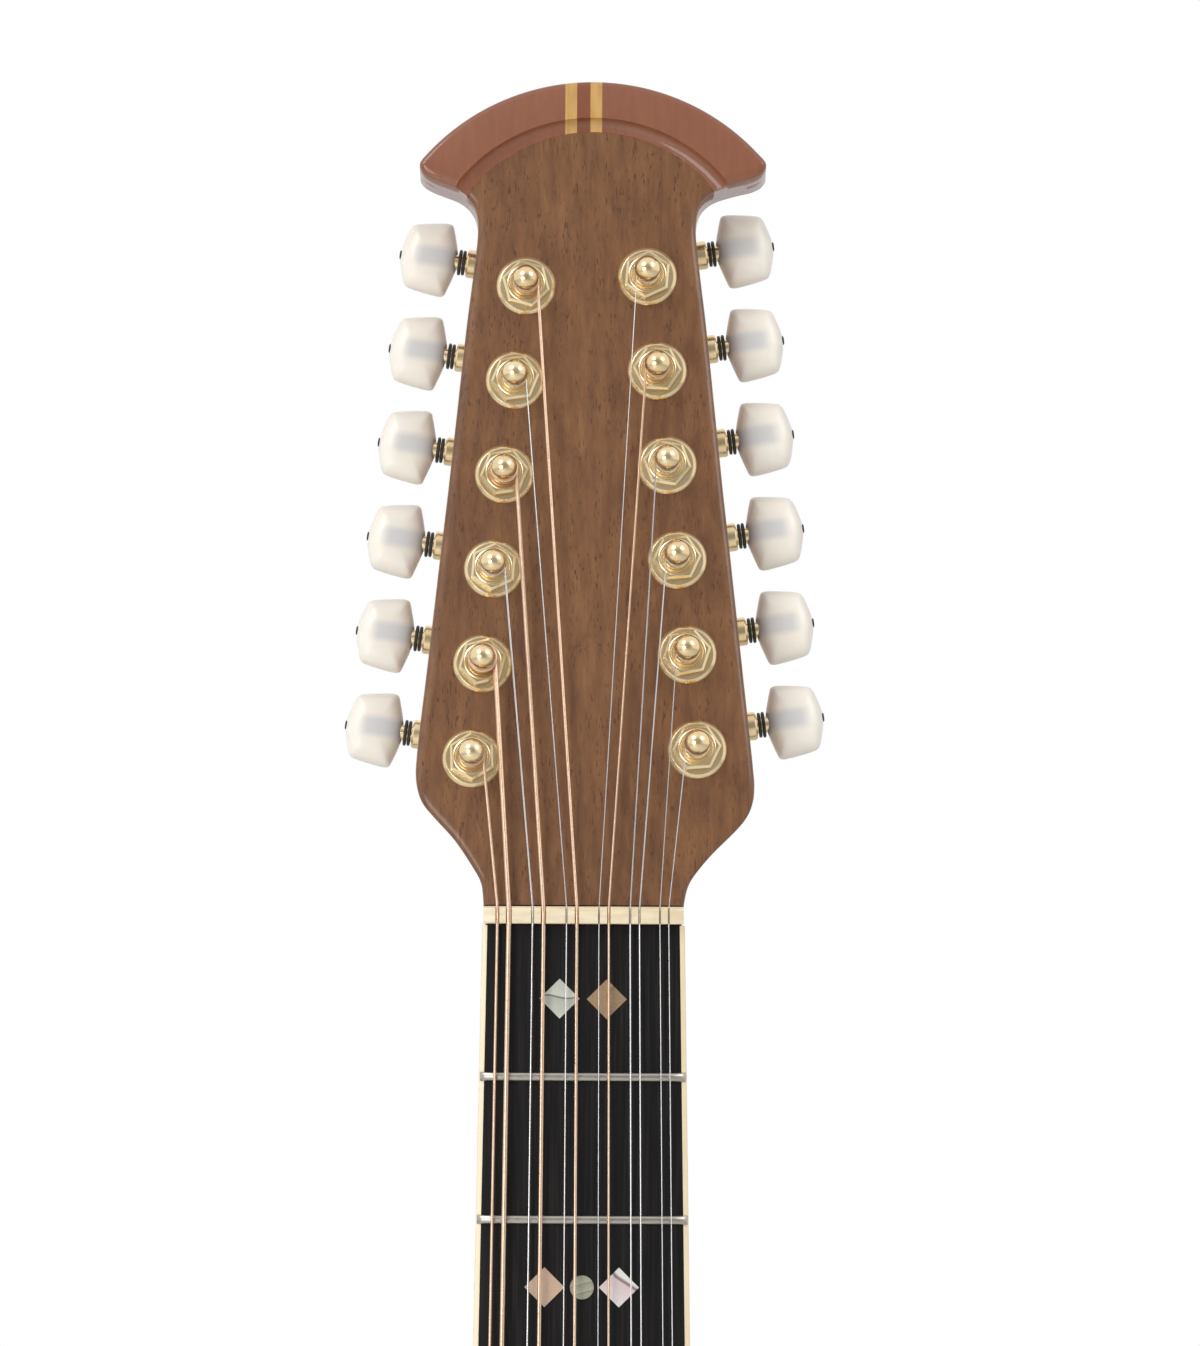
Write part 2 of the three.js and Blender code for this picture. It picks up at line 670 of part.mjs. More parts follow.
function saddle() {
  const half = SADDLE_THICKNESS / 2;
  return loft(
    [
      [-half, 1.8],
      [0, 0],
      [half, 0.6],
    ].map(([z, drop]) =>
      boardSection(SADDLE_SPAN, SADDLE_TOP + drop, BRIDGE_TOP + SADDLE_SLOT_DEPTH - SEAT, SADDLE_Z + z, 6),
    ),
  );
}

// ---------------------------------------------------------------- tuning machines

// All pieces of a machine are built for the treble side about its own post, with the head's face at y = 0.

function wormWheel() {
  const twist = (WORM_PITCH * GEAR_WIDTH) / (2 * Math.PI * WORM_PITCH_RADIUS * GEAR_RADIUS);
  const root = GEAR_RADIUS - 1.4 * TOOTH_DEPTH;
  const tip = GEAR_RADIUS + TOOTH_HEIGHT;
  const ring = (share) =>
    range(GEAR_TEETH).flatMap((tooth) => {
      const middle = ((tooth + 0.5) * 2 * Math.PI) / GEAR_TEETH + twist * share;
      return [
        [root, -12.86],
        [tip, -2.9],
        [tip, 2.9],
      ].map(([radius, lean]) => {
        const angle = middle + radians(lean);
        return new THREE.Vector3(
          radius * Math.sin(angle),
          GEAR_DEPTH + share * GEAR_WIDTH,
          radius * Math.cos(angle),
        );
      });
    });
  return loft([ring(-0.5), ring(0.5)]);
}

function post(gauge) {
  const wrap = POST_RADIUS + gauge;
  const ball = [58, 16].map((angle) => [
    POST_BALL_RADIUS * Math.cos(radians(angle)),
    -POST_BALL_HEIGHT - POST_BALL_RADIUS * Math.sin(radians(angle)),
  ]);
  const shaft = turned(
    [
      [0, -POST_BALL_HEIGHT - POST_BALL_RADIUS],
      ...ball,
      [POST_RADIUS * 0.85, -WRAP_HIGH - 0.2],
      [wrap, -WRAP_HIGH],
      [wrap, -WRAP_LOW],
      [POST_RADIUS, -WRAP_LOW],
      [POST_RADIUS, GEAR_DEPTH],
      [SHAFT_RADIUS, GEAR_DEPTH],
      [SHAFT_RADIUS, CASE_BACK - CASE_WALL / 2],
      [0, CASE_BACK - CASE_WALL / 2],
    ],
    8,
  );
  return join(shaft, wormWheel());
}

function wormThread() {
  const turns = 2;
  const steps = Math.round(turns * THREAD_STEPS);
  const root = WORM_PITCH_RADIUS - TOOTH_DEPTH - 0.15;
  const tip = WORM_PITCH_RADIUS + TOOTH_HEIGHT;
  return loft(
    range(steps + 1).map((step) => {
      const angle = 2 * Math.PI * turns * (step / steps - 0.5);
      const along = (WORM_PITCH * angle) / (2 * Math.PI);
      return [
        [root, -0.72],
        [tip, 0],
        [root, 0.72],
      ].map(
        ([radius, side]) =>
          new THREE.Vector3(
            along + side,
            GEAR_DEPTH + radius * Math.sin(angle),
            WORM_OFFSET - radius * Math.cos(angle),
          ),
      );
    }),
  );
}

function buttonOutline() {
  const half = BUTTON_HALF_HEIGHT;
  const upper = [
    // distance from the button's inner end, half-height
    [0.1, 2.3],
    [2, half - 0.6],
    [2.9, half],
    [11.4, half - 1.4],
    [13.2, half - 5],
  ].map(([u, v]) => new THREE.Vector2(BUTTON_START + u, v));
  const end = new THREE.Vector2(BUTTON_START + BUTTON_LENGTH, 0);
  const lower = upper.map((p) => new THREE.Vector2(p.x, -p.y));
  return [...lower, end, ...upper.reverse()];
}

function key() {
  const outline = buttonOutline();
  const button = loft(
    [
      [-1, 1.3],
      [-0.72, 0],
      [0.72, 0],
      [1, 1.3],
    ].map(([share, distance]) =>
      inset(outline, distance).map(
        (p) => new THREE.Vector3(p.x, GEAR_DEPTH + share * BUTTON_HALF_THICKNESS, WORM_OFFSET + p.y),
      ),
    ),
  );
  const core = WORM_PITCH_RADIUS - TOOTH_DEPTH;
  const half = WORM_LENGTH / 2;
  const innerEnd = -CASE_HALF_WIDTH + CASE_WALL / 2;
  const shaft = turnedX(
    [
      [0, innerEnd],
      [JOURNAL_RADIUS, innerEnd],
      [JOURNAL_RADIUS, -half],
      [core, -half],
      [core, half],
      [SHAFT_RADIUS, half],
      [SHAFT_RADIUS, STUB_END + SEAT],
      [WASHER_RADIUS, STUB_END + SEAT],
      [WASHER_RADIUS, BUTTON_START - 0.2],
      [SHAFT_RADIUS, BUTTON_START],
      [SHAFT_RADIUS * 0.7, BUTTON_START + BUTTON_LENGTH + 0.4],
      [0, BUTTON_START + BUTTON_LENGTH + 0.4],
    ],
    6,
    GEAR_DEPTH,
    WORM_OFFSET,
  );
  return join(shaft, button, wormThread());
}

function housing() {
  const [low, high] = [-CAVITY_RADIUS - CASE_WALL / 2, WORM_OFFSET + WORM_CAVITY_RADIUS + CASE_WALL / 2];
  const corner = 2;
  const rectangle = (wide, bottom, top) =>
    [
      [wide - corner, bottom],
      [wide, bottom + corner],
      [wide, top - corner],
      [wide - corner, top],
      [-wide + corner, top],
      [-wide, top - corner],
      [-wide, bottom + corner],
      [-wide + corner, bottom],
    ].map(([x, z]) => new THREE.Vector2(x, z));
  const outline = rectangle(CASE_HALF_WIDTH, low, high);
  const casing = slab(outline, CASE_FRONT, CASE_BACK);
  const sleeve = cylinderY(SLEEVE_RADIUS, -SEAT - FLANGE_THICKNESS / 2, CASE_FRONT + 1, 8);
  const flange = turned(
    [
      [0, -SEAT - FLANGE_THICKNESS],
      [FLANGE_RADIUS - 1.1, -SEAT - FLANGE_THICKNESS],
      [FLANGE_RADIUS, -SEAT],
      [0, -SEAT],
    ],
    16,
  );
  const hexFront = -SEAT - FLANGE_THICKNESS - HEX_HEIGHT;
  const hex = cylinderY(HEX_FLATS / Math.sqrt(3), hexFront, -SEAT - FLANGE_THICKNESS + 0.4, 6);
  const stub = cylinderX(STUB_RADIUS, CASE_HALF_WIDTH - 1, STUB_END, 8, GEAR_DEPTH, WORM_OFFSET);
  const room = box(
    [-CASE_HALF_WIDTH + CASE_WALL, CASE_HALF_WIDTH - CASE_WALL],
    [CASE_FRONT + CASE_WALL, CASE_BACK - CASE_WALL],
    [low + CASE_WALL / 2, high - CASE_WALL / 2],
  );
  const postBore = cylinderY(POST_RADIUS + RUN + 0.2, hexFront - 1, CASE_FRONT + CASE_WALL + 1, 8);
  const pivotBore = cylinderY(SHAFT_RADIUS + RUN, CASE_BACK - CASE_WALL - 1, CASE_BACK - CASE_WALL / 4, 8);
  const shaftBore = cylinderX(SHAFT_RADIUS + RUN, 0, STUB_END + 1, 8, GEAR_DEPTH, WORM_OFFSET);
  const innerEnd = -CASE_HALF_WIDTH + CASE_WALL / 4;
  const innerBore = cylinderX(JOURNAL_RADIUS + RUN, innerEnd, 0, 8, GEAR_DEPTH, WORM_OFFSET);
  return cut(join(casing, sleeve, flange, hex, stub), room, postBore, pivotBore, shaftBore, innerBore);
}

// ---------------------------------------------------------------- strings

// Where a machine's post stands on the head's face, and the side it is on.
const machines = ["bass", "treble"].flatMap((side) =>
  range(TUNERS_PER_SIDE).map((step) => ({
    name: `tuner_${side}_${step + 1}`,
    sign: side === "bass" ? -1 : 1,
    x: (side === "bass" ? -1 : 1) * (TUNER_FIRST_X - TUNER_STEP_X * step),
    z: TUNER_FIRST_Z[side] + TUNER_PITCH * step,
    // the bass side's strings run outwards from the lowest post, the treble side's from the highest
    string: side === "bass" ? step : STRINGS.length - 1 - step,
  })),
);

// The frame of the head: its face at y = 0, its lower end at the back of the nut.
const headFrame = new THREE.Group();
headFrame.rotation.x = radians(-HEAD_TILT);
headFrame.position.set(0, HEAD_FACE_DROP, NUT_LENGTH);
headFrame.updateMatrixWorld(true);

const onHead = (x, y, z) => headFrame.localToWorld(new THREE.Vector3(x, y, z));

// A string from its ball end behind the bridge, over saddle and nut, to the turns on its post.
function stringSolid(index) {
  const { gauge } = STRINGS[index];
  const radius = gauge / 2;
  const x = stringX(index);
  const saddleX = x * SADDLE_SPREAD;
  const machine = machines.find((m) => m.string === index);
  const back = SADDLE_Z - BRIDGE_BACK - SEAT;
  const blockFront = SADDLE_Z - SADDLE_THICKNESS / 2 - SEAT - 6.8;
  const overNut = crown(x) - SLOT_FLOOR - SEAT - radius;

  // the string meets the turns on the post at a tangent, on the post's inner side
  const middle = new THREE.Vector2(machine.x, machine.z);
  const toNut = new THREE.Vector2(x, 0).sub(middle);
  const reach = POST_RADIUS + gauge + SEAT + radius;
  const swing = Math.acos(reach / toNut.length()) * -machine.sign;
  const tangent = toNut.clone().normalize().rotateAround(new THREE.Vector2(), swing).multiplyScalar(reach);
  const post = onHead(machine.x + tangent.x, -(WRAP_LOW + WRAP_HIGH) / 2, machine.z + tangent.y);

  const route = [
    [new THREE.Vector3(saddleX, ANCHOR_Y, back - BALL_END_LENGTH), BALL_END_RADIUS],
    [new THREE.Vector3(saddleX, ANCHOR_Y, back), BALL_END_RADIUS],
    [new THREE.Vector3(saddleX, ANCHOR_Y, back + 0.01), radius],
    [new THREE.Vector3(saddleX, ANCHOR_Y, blockFront), radius],
    [new THREE.Vector3(saddleX, SADDLE_TOP + crown(saddleX) - SEAT - radius, SADDLE_Z), radius],
    [new THREE.Vector3(x, overNut, 0), radius],
    [new THREE.Vector3(x, overNut, NUT_LENGTH), radius],
    [post, radius],
  ];
  // each section stands across the middle of the bend there
  return loft(
    route.map(([point, ringRadius], k) => {
      const before = route[Math.max(0, k - 1)][0];
      const after = route[Math.min(route.length - 1, k + 1)][0];
      const straight = k < 3;
      const along = straight ? new THREE.Vector3(0, 0, 1) : after.clone().sub(before).normalize();
      if (!straight && k > 0 && k < route.length - 1) {
        along.copy(point.clone().sub(before).normalize().add(after.clone().sub(point).normalize())).normalize();
      }
      const side = new THREE.Vector3(0, 1, 0).cross(along).normalize();
      const up = along.clone().cross(side);
      return range(STRING_SIDES).map((corner) => {
        const angle = (2 * Math.PI * (corner + 0.5)) / STRING_SIDES;
        return point
          .clone()
          .addScaledVector(side, ringRadius * Math.cos(angle))
          .addScaledVector(up, ringRadius * Math.sin(angle));
      });
    }),
  );
}

// ---------------------------------------------------------------- assembly

const guitar = new THREE.Group();
guitar.add(headFrame);

const outline = headOutline();
const sleeveHoles = machines.map(({ x, z }) =>
  cylinderY(SLEEVE_RADIUS + SLEEVE_CLEARANCE, -5, HEAD_THICKNESS + 8, 8, x, z),
);
const toRow = headFrame.matrixWorld.elements;
const nutSeat = box([-NUT_WIDTH, NUT_WIDTH], [-20, NECK_TOP], [-1, NUT_LENGTH]);
const heelFlat = box([-60, 60], [HEEL_DEPTH, HEEL_DEPTH + 60], [JOINT_Z - 90, JOINT_Z + 60]);

guitar.add(
  named(
    "neck",
    cut(
      join(neckShaft(), volute(toRow), cut(headCore(outline), ...sleeveHoles).transform(toRow)),
      nutSeat,
      box([-NUT_WIDTH, NUT_WIDTH], [-20, NECK_TOP], [JOINT_Z - 60, 0]),
      rodChannel(),
      bowlForm(SEAT, TOP_FACE - 10),
      heelFlat,
    ),
    wood("#a5684a"),
  ),
  named("fretboard", fretboard(), wood("#1c1a1a", 0.55)),
  named("nut", nut(), BONE),
  named("truss_rod", trussRod(), STEEL),
  named("bowl", bowl(), new THREE.MeshStandardMaterial({ color: "#1b1b1c", roughness: 0.6 })),
  named("soundboard", soundboard(), wood("#d8a765", 0.3)),
  named("bracing", bracing(), wood("#d9bd8c", 0.8)),
  named("bridge", bridge(), wood("#5d3a26")),
  named("saddle", saddle(), BONE),
);

headFrame.add(
  named(
    "head_veneer",
    cut(
      slab(inset(outline, VENEER_INSET), 0, VENEER_THICKNESS).intersect(
        coveDisc(COVE_INNER_RADIUS - SEAT, COVE_TOP - SEAT, -1, VENEER_THICKNESS + 1).add(
          box([-90, 90], [-1, VENEER_THICKNESS + 1], [SEAT, COVE_TOP - COVE_INNER_RADIUS]),
        ),
      ),
      box([-90, 90], [-2, VENEER_THICKNESS + 1], [-5, SEAT]),
      ...sleeveHoles,
    ),
    wood("#84603f", 0.35),
  ),
);

const housingSolid = housing();
const keySolid = key();
for (const machine of machines) {
  const stand = new THREE.Group();
  stand.position.set(machine.x, 0, machine.z);
  stand.rotation.y = radians(-TUNER_TURN * machine.sign);
  stand.scale.x = machine.sign; // the bass side's machines are mirror images
  stand.add(
    named(`${machine.name}_housing`, housingSolid, GOLD),
    named(`${machine.name}_post`, post(STRINGS[machine.string].gauge), GOLD),
    named(`${machine.name}_key`, keySolid, PEARLOID),
  );
  headFrame.add(stand);
}

STRINGS.forEach(({ pitch }, index) => {
  const number = String(index + 1).padStart(2, "0");
  const wound = STRINGS[index].gauge > 0.5;
  guitar.add(named(`string_${number}_${pitch}`, stringSolid(index), wound ? BRONZE : STEEL));
});

const grownBowl = bowlForm(SEAT, RIM - 20);
guitar.add(
  named(
    "strap_button_tail",
    cut(strapButton().rotate([-90, 0, 0]).translate([0, TOP_FACE + TAIL_BUTTON_DEPTH, TAIL_Z + TAIL_BUTTON_SINK]), grownBowl),
    GOLD,
  ),
  named(
    "strap_button_heel",
    strapButton().translate([0, HEEL_DEPTH + SEAT, JOINT_Z - 12]),
    GOLD,
  ),
);

export default guitar;
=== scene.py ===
import json
import math
import random

import bmesh
import bpy
from mathutils import Matrix, Vector
from mathutils.geometry import delaunay_2d_cdt


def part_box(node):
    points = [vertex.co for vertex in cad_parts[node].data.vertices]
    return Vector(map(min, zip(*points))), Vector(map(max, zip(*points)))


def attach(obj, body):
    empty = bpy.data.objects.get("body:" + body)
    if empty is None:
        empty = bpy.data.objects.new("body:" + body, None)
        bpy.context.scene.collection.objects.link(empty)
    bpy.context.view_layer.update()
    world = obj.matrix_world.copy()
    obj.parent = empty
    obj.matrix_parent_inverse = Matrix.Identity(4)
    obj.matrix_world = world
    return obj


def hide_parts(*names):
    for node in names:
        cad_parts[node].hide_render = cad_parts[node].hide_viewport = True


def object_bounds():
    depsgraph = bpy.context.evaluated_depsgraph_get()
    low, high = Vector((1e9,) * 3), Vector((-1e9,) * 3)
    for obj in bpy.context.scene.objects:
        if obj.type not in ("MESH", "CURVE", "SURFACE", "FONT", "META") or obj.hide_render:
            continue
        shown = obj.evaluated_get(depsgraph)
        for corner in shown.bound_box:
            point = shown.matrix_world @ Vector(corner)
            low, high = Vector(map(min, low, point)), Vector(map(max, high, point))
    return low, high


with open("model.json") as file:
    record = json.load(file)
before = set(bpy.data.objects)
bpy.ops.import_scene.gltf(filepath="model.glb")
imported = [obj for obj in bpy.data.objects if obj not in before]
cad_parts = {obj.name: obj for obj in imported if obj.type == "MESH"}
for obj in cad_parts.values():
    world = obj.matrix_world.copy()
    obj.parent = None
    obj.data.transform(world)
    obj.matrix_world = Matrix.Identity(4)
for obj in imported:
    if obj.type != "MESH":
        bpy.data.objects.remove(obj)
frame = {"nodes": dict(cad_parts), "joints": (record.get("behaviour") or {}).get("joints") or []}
cad_box = [list(corner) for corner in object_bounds()]

# ---------------------------------------------------------------------------------------------
# Studio: a long lens level with the head, a plain pale floor below the hanging instrument,
# and broad soft lamps. The empty surroundings read as white to the lens and in reflections.

MM = 0.001
VIEW_HEIGHT = 319.7 * MM  # what the frame's height spans at the strings
VIEW_DISTANCE = 4.5
VIEW_CENTRE = (3.63 * MM, 59.98 * MM)  # across, up
VIEW_ROLL = math.radians(0.27)

scene = bpy.context.scene
scene.view_settings.view_transform = "Standard"

lens = bpy.data.cameras.new("studio_camera")
lens.sensor_width = 36
lens.lens = lens.sensor_width * VIEW_DISTANCE / VIEW_HEIGHT
lens.clip_end = 20
camera = bpy.data.objects.new("studio_camera", lens)
level = Matrix.Rotation(math.radians(90), 4, "X") @ Matrix.Rotation(VIEW_ROLL, 4, "Z")
camera.matrix_world = Matrix.Translation((VIEW_CENTRE[0], -VIEW_DISTANCE, VIEW_CENTRE[1])) @ level
scene.collection.objects.link(camera)
scene.camera = camera


class Wire:
    """An output socket of a node tree, with arithmetic that adds Math nodes."""

    def __init__(self, tree, socket):
        self.tree, self.socket = tree, socket

    def math(self, operation, *values):
        inputs = dict(enumerate((self, *values)))
        return add_node(self.tree, "ShaderNodeMath", {"operation": operation}, inputs)

    def __add__(self, other):
        return self.math("ADD", other)

    def __mul__(self, other):
        return self.math("MULTIPLY", other)

    def __sub__(self, other):
        return self.math("SUBTRACT", other)

    def __rsub__(self, other):
        return add_node(self.tree, "ShaderNodeMath", {"operation": "SUBTRACT"}, {0: other, 1: self})

    __radd__ = __add__
    __rmul__ = __mul__

    def clamped(self, low=0.0, high=1.0):
        return self.math("MAXIMUM", low).math("MINIMUM", high)

    def rise(self, start, end):
        """0 below start, 1 above end, smooth between them."""
        settings = {"interpolation_type": "SMOOTHSTEP"}
        return add_node(self.tree, "ShaderNodeMapRange", settings, {0: self, 1: start, 2: end})


def add_node(tree, kind, settings=None, inputs=None, output=0):
    """Adds a node with its settings, then its input values or links, and returns one output."""
    node = tree.nodes.new(kind)
    for name, value in (settings or {}).items():
        if name == "stops":
            ramp = node.color_ramp
            while len(ramp.elements) < len(value):
                ramp.elements.new(1.0)
            for element, (position, colour) in zip(ramp.elements, value):
                element.position, element.color = position, (*colour, 1.0)
        else:
            setattr(node, name, value)
    for name, value in (inputs or {}).items():
        if isinstance(value, Wire):
            tree.links.new(value.socket, node.inputs[name])
        elif isinstance(value, tuple) and node.inputs[name].type == "RGBA":
            node.inputs[name].default_value = (*value, 1.0)
        else:
            node.inputs[name].default_value = value
    return Wire(tree, node.outputs[output]) if node.outputs else None


class Finish:
    """A material: its coordinates and patterns, and the coating that they feed."""

    def __init__(self, name):
        self.material = bpy.data.materials.new(name)
        self.material.use_nodes = True
        self.tree = self.material.node_tree
        self.tree.nodes.clear()

    def node(self, kind, settings=None, inputs=None, output=0):
        return add_node(self.tree, kind, settings, inputs, output)

    def place(self):
        """Where a point is on the object, in metres."""
        return self.node("ShaderNodeTexCoord", output="Object")

    def axis(self, vector, letter):
        return self.node("ShaderNodeSeparateXYZ", None, {0: vector}, output=letter)

    def scaled(self, vector, x, y, z):
        return self.node("ShaderNodeVectorMath", {"operation": "MULTIPLY"}, {0: vector, 1: (x, y, z)})

    def noise(self, vector, scale=1.0, detail=3.0, distortion=0.0, roughness=0.5):
        inputs = {"Vector": vector, "Scale": scale, "Detail": detail}
        inputs.update({"Distortion": distortion, "Roughness": roughness})
        return self.node("ShaderNodeTexNoise", None, inputs)

    def blend(self, factor, first, second):
        """One colour over another, by a factor."""
        settings = {"data_type": "RGBA"}
        return self.node("ShaderNodeMix", settings, {0: factor, 6: first, 7: second}, output=2)

    def ramp(self, factor, *stops):
        return self.node("ShaderNodeValToRGB", {"stops": stops}, {0: factor})

    def bump(self, height, distance, strength=1.0):
        inputs = {"Height": height, "Distance": distance, "Strength": strength}
        return self.node("ShaderNodeBump", None, inputs)

    def coat(self, **sockets):
        """Ends the tree in a Principled shader with these socket values."""
        inputs = {name.replace("_", " "): value for name, value in sockets.items()}
        shader = self.node("ShaderNodeBsdfPrincipled", None, inputs)
        self.node("ShaderNodeOutputMaterial", None, {"Surface": shader})
        return self.material


FLOOR_GAP = 12 * MM
floor_level = cad_box[0][2] - FLOOR_GAP
floor_mesh = bpy.data.meshes.new("floor")
floor_mesh.from_pydata([(-4, -4, 0), (4, -4, 0), (4, 4, 0), (-4, 4, 0)], [], [(0, 1, 2, 3)])
floor = bpy.data.objects.new("floor", floor_mesh)
floor.location.z = floor_level
paper = Finish("pale_floor")
speckle = paper.noise(paper.place(), scale=60)
floor_mesh.materials.append(
    paper.coat(Base_Color=paper.blend(speckle, (0.86, 0.86, 0.85), (0.9, 0.9, 0.89)), Roughness=0.8)
)
scene.collection.objects.link(floor)

world = bpy.data.worlds.new("studio")
scene.world = world
world.use_nodes = True
world.node_tree.nodes.clear()
ray = {}
for kind in ("Is Camera Ray", "Is Glossy Ray", "Is Transmission Ray"):
    ray[kind] = add_node(world.node_tree, "ShaderNodeLightPath", output=kind)
heading = add_node(world.node_tree, "ShaderNodeTexCoord", output="Generated")
forward = add_node(world.node_tree, "ShaderNodeSeparateXYZ", None, {0: heading}, output="Y") * -1.0
ROOM_LIGHT, ROOM_GLOSS, ROOM_FRONT = 0.55, 1.0, 0.34
gloss = ROOM_GLOSS - (ROOM_GLOSS - ROOM_FRONT) * forward.rise(0.5, 0.97)
strength = ray["Is Glossy Ray"] * (gloss - ROOM_LIGHT) + ROOM_LIGHT
plain = (ray["Is Camera Ray"] + ray["Is Transmission Ray"]).clamped()
strength = strength * (1.0 - plain) + plain
sky = add_node(
    world.node_tree, "ShaderNodeBackground", None, {"Color": (1.0, 1.0, 1.0), "Strength": strength}
)
add_node(world.node_tree, "ShaderNodeOutputWorld", None, {"Surface": sky})


def soft_lamp(name, position, target, size, power):
    data = bpy.data.lights.new(name, "AREA")
    data.shape, data.size, data.energy = "DISK", size, power
    lamp = bpy.data.objects.new(name, data)
    lamp.location = position
    lamp.rotation_euler = (Vector(target) - Vector(position)).to_track_quat("-Z", "Y").to_euler()
    scene.collection.objects.link(lamp)


soft_lamp("lamp_above_left", (-1.1, -1.3, 1.5), (0, 0, 0.05), 0.9, 16)
soft_lamp("lamp_above_right", (1.4, -1.0, 1.2), (0, 0, 0.05), 0.9, 9)
soft_lamp("lamp_body", (-0.9, -1.6, -0.1), (0, 0, -0.5), 0.9, 10)

# ---------------------------------------------------------------------------------------------
# Neck and head: five long strips, three of mahogany with two of maple between them, glued side
# by side and carved as one piece. The head leans back and ends in a raised, flared crest; its
# edges are rounded over and the whole is under a gloss lacquer.

joints = {joint["name"]: joint for joint in frame["joints"]}
nut_high, bowl_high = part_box("nut")[1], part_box("bowl")[1]
board_low, board_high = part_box("fretboard")

SEAT = 0.3  # gap between pieces that are glued or screwed home, in millimetres
first_post = joints["tuner_bass_1_post_turn"]
head_tilt = math.asin(first_post["axis"][2])
nut_back = nut_high.z / MM + SEAT
head_rise = (first_post["pos_m"][2] / MM - nut_back) / math.cos(head_tilt)
face_depth = first_post["pos_m"][1] / MM - head_rise * math.sin(head_tilt)
on_head = (
    Matrix.Scale(MM, 4)
    @ Matrix.Translation((0, face_depth, nut_back))
    @ Matrix.Rotation(-head_tilt, 4, "X")
)
in_row = Matrix.Scale(MM, 4)


def piece(name, points, faces, finish, place=in_row, **how):
    """A mesh given in millimetres, put in its place and made a piece."""
    mesh = bpy.data.meshes.new(name)
    mesh.from_pydata([place @ Vector(p) for p in points], [], faces)
    return as_piece(mesh, name, finish, **how)


def as_piece(mesh, name, finish, node=None, body="guitar", slot=None, crease=30):
    """Makes a mesh a piece of a body, in a node's stead, smooth except at edges sharper than crease."""
    shape = bmesh.new()
    shape.from_mesh(mesh)
    bmesh.ops.remove_doubles(shape, verts=shape.verts, dist=1e-7)
    bmesh.ops.recalc_face_normals(shape, faces=shape.faces)
    shape.to_mesh(mesh)
    shape.free()
    mesh.shade_smooth()
    mesh.set_sharp_from_angle(angle=math.radians(crease))
    mesh.materials.clear()
    mesh.materials.append(finish)
    thing = bpy.data.objects.new(name, mesh)
    scene.collection.objects.link(thing)
    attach(thing, body)
    if node:
        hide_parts(node)
    return thing


def cap(ring, start):
    """Triangles that fill a flat ring, whose points are numbered from start."""
    corners = [Vector(p) - Vector(ring[0]) for p in ring]
    spans = [max(c[i] for c in corners) - min(c[i] for c in corners) for i in range(3)]
    i, j = sorted(range(3), key=lambda k: -spans[k])[:2]
    flat = [Vector((c[i], c[j])) for c in corners]
    edges = [(k, (k + 1) % len(flat)) for k in range(len(flat))]
    made, _, triangles, sources, _, _ = delaunay_2d_cdt(flat, edges, [], 1, 1e-5)
    if len(made) != len(flat):
        return [tuple(range(start, start + len(ring)))]
    return [tuple(start + sources[k][0] for k in triangle) for triangle in triangles]


def loft(rings, closed=False, capped=True):
    """Points and faces of a skin through rings of equal length; closed joins the last to the first."""
    count = len(rings[0])
    points = [p for ring in rings for p in ring]
    faces = []
    for r in range(len(rings) if closed else len(rings) - 1):
        here, there = r * count, ((r + 1) % len(rings)) * count
        for k in range(count):
            n = (k + 1) % count
            faces.append((here + k, here + n, there + n, there + k))
    if capped and not closed:
        faces += cap(rings[0], 0)
        faces += cap(rings[-1], len(points) - count)
    return points, faces


def spline(p, q, r, s, t):
    """The value at t, between q and r, of a smooth curve through four values."""
    return 0.5 * (2 * q + (r - p) * t + (2 * p - 5 * q + 4 * r - s) * t**2 + (3 * q - p - 3 * r + s) * t**3)


def through(points, steps):
    """A smooth open curve through points, as points on it."""
    curve = []
    for k in range(len(points) - 1):
        a, b = points[max(k - 1, 0)], points[k]
        c, d = points[k + 1], points[min(k + 2, len(points) - 1)]
        curve += [tuple(spline(*four, j / steps) for four in zip(a, b, c, d)) for j in range(steps)]
    return curve + [tuple(points[-1])]


def inset(outline, distance, base=False):
    """An anticlockwise outline moved inwards; its first and last points slide along a base."""
    moved = []
    for k, (x, z) in enumerate(outline):
        reach = distance(z) if callable(distance) else distance
        before, after = outline[k - 1], outline[(k + 1) % len(outline)]
        if base and k in (0, len(outline) - 1):
            moved.append((x - math.copysign(reach, x), z))
            continue
        dx, dz = after[0] - before[0], after[1] - before[1]
        length = math.hypot(dx, dz) or 1.0
        moved.append((x - dz / length * reach, z + dx / length * reach))
    return moved


def cut_with(target, tool, operation):
    """Leaves the target's mesh joined to, cut by or kept within the tool, which is then gone."""
    change = target.modifiers.new("carve", "BOOLEAN")
    change.object, change.operation, change.solver = tool, operation, "EXACT"
    bpy.context.view_layer.update()
    carved = bpy.data.meshes.new_from_object(target.evaluated_get(bpy.context.evaluated_depsgraph_get()))
    target.modifiers.clear()
    old, target.data = target.data, carved
    bpy.data.meshes.remove(old)
    bpy.data.objects.remove(tool)


def blank(name, points, faces, place=in_row):
    """A plain closed mesh to carve with."""
    mesh = bpy.data.meshes.new(name)
    mesh.from_pydata([place @ Vector(p) for p in points], [], faces)
    shape = bmesh.new()
    shape.from_mesh(mesh)
    bmesh.ops.recalc_face_normals(shape, faces=shape.faces)
    shape.to_mesh(mesh)
    shape.free()
    thing = bpy.data.objects.new(name, mesh)
    scene.collection.objects.link(thing)
    return thing


def carved(thing, name, finish, **how):
    """Makes a carved blank a piece."""
    mesh = thing.data.copy()
    bpy.data.objects.remove(thing)
    return as_piece(mesh, name, finish, **how)


def clamp(value):
    return max(0.0, min(1.0, value))


def at_depth(outline, depth):
    """A flat outline as a ring at one depth."""
    return [(x, depth, z) for x, z in outline]


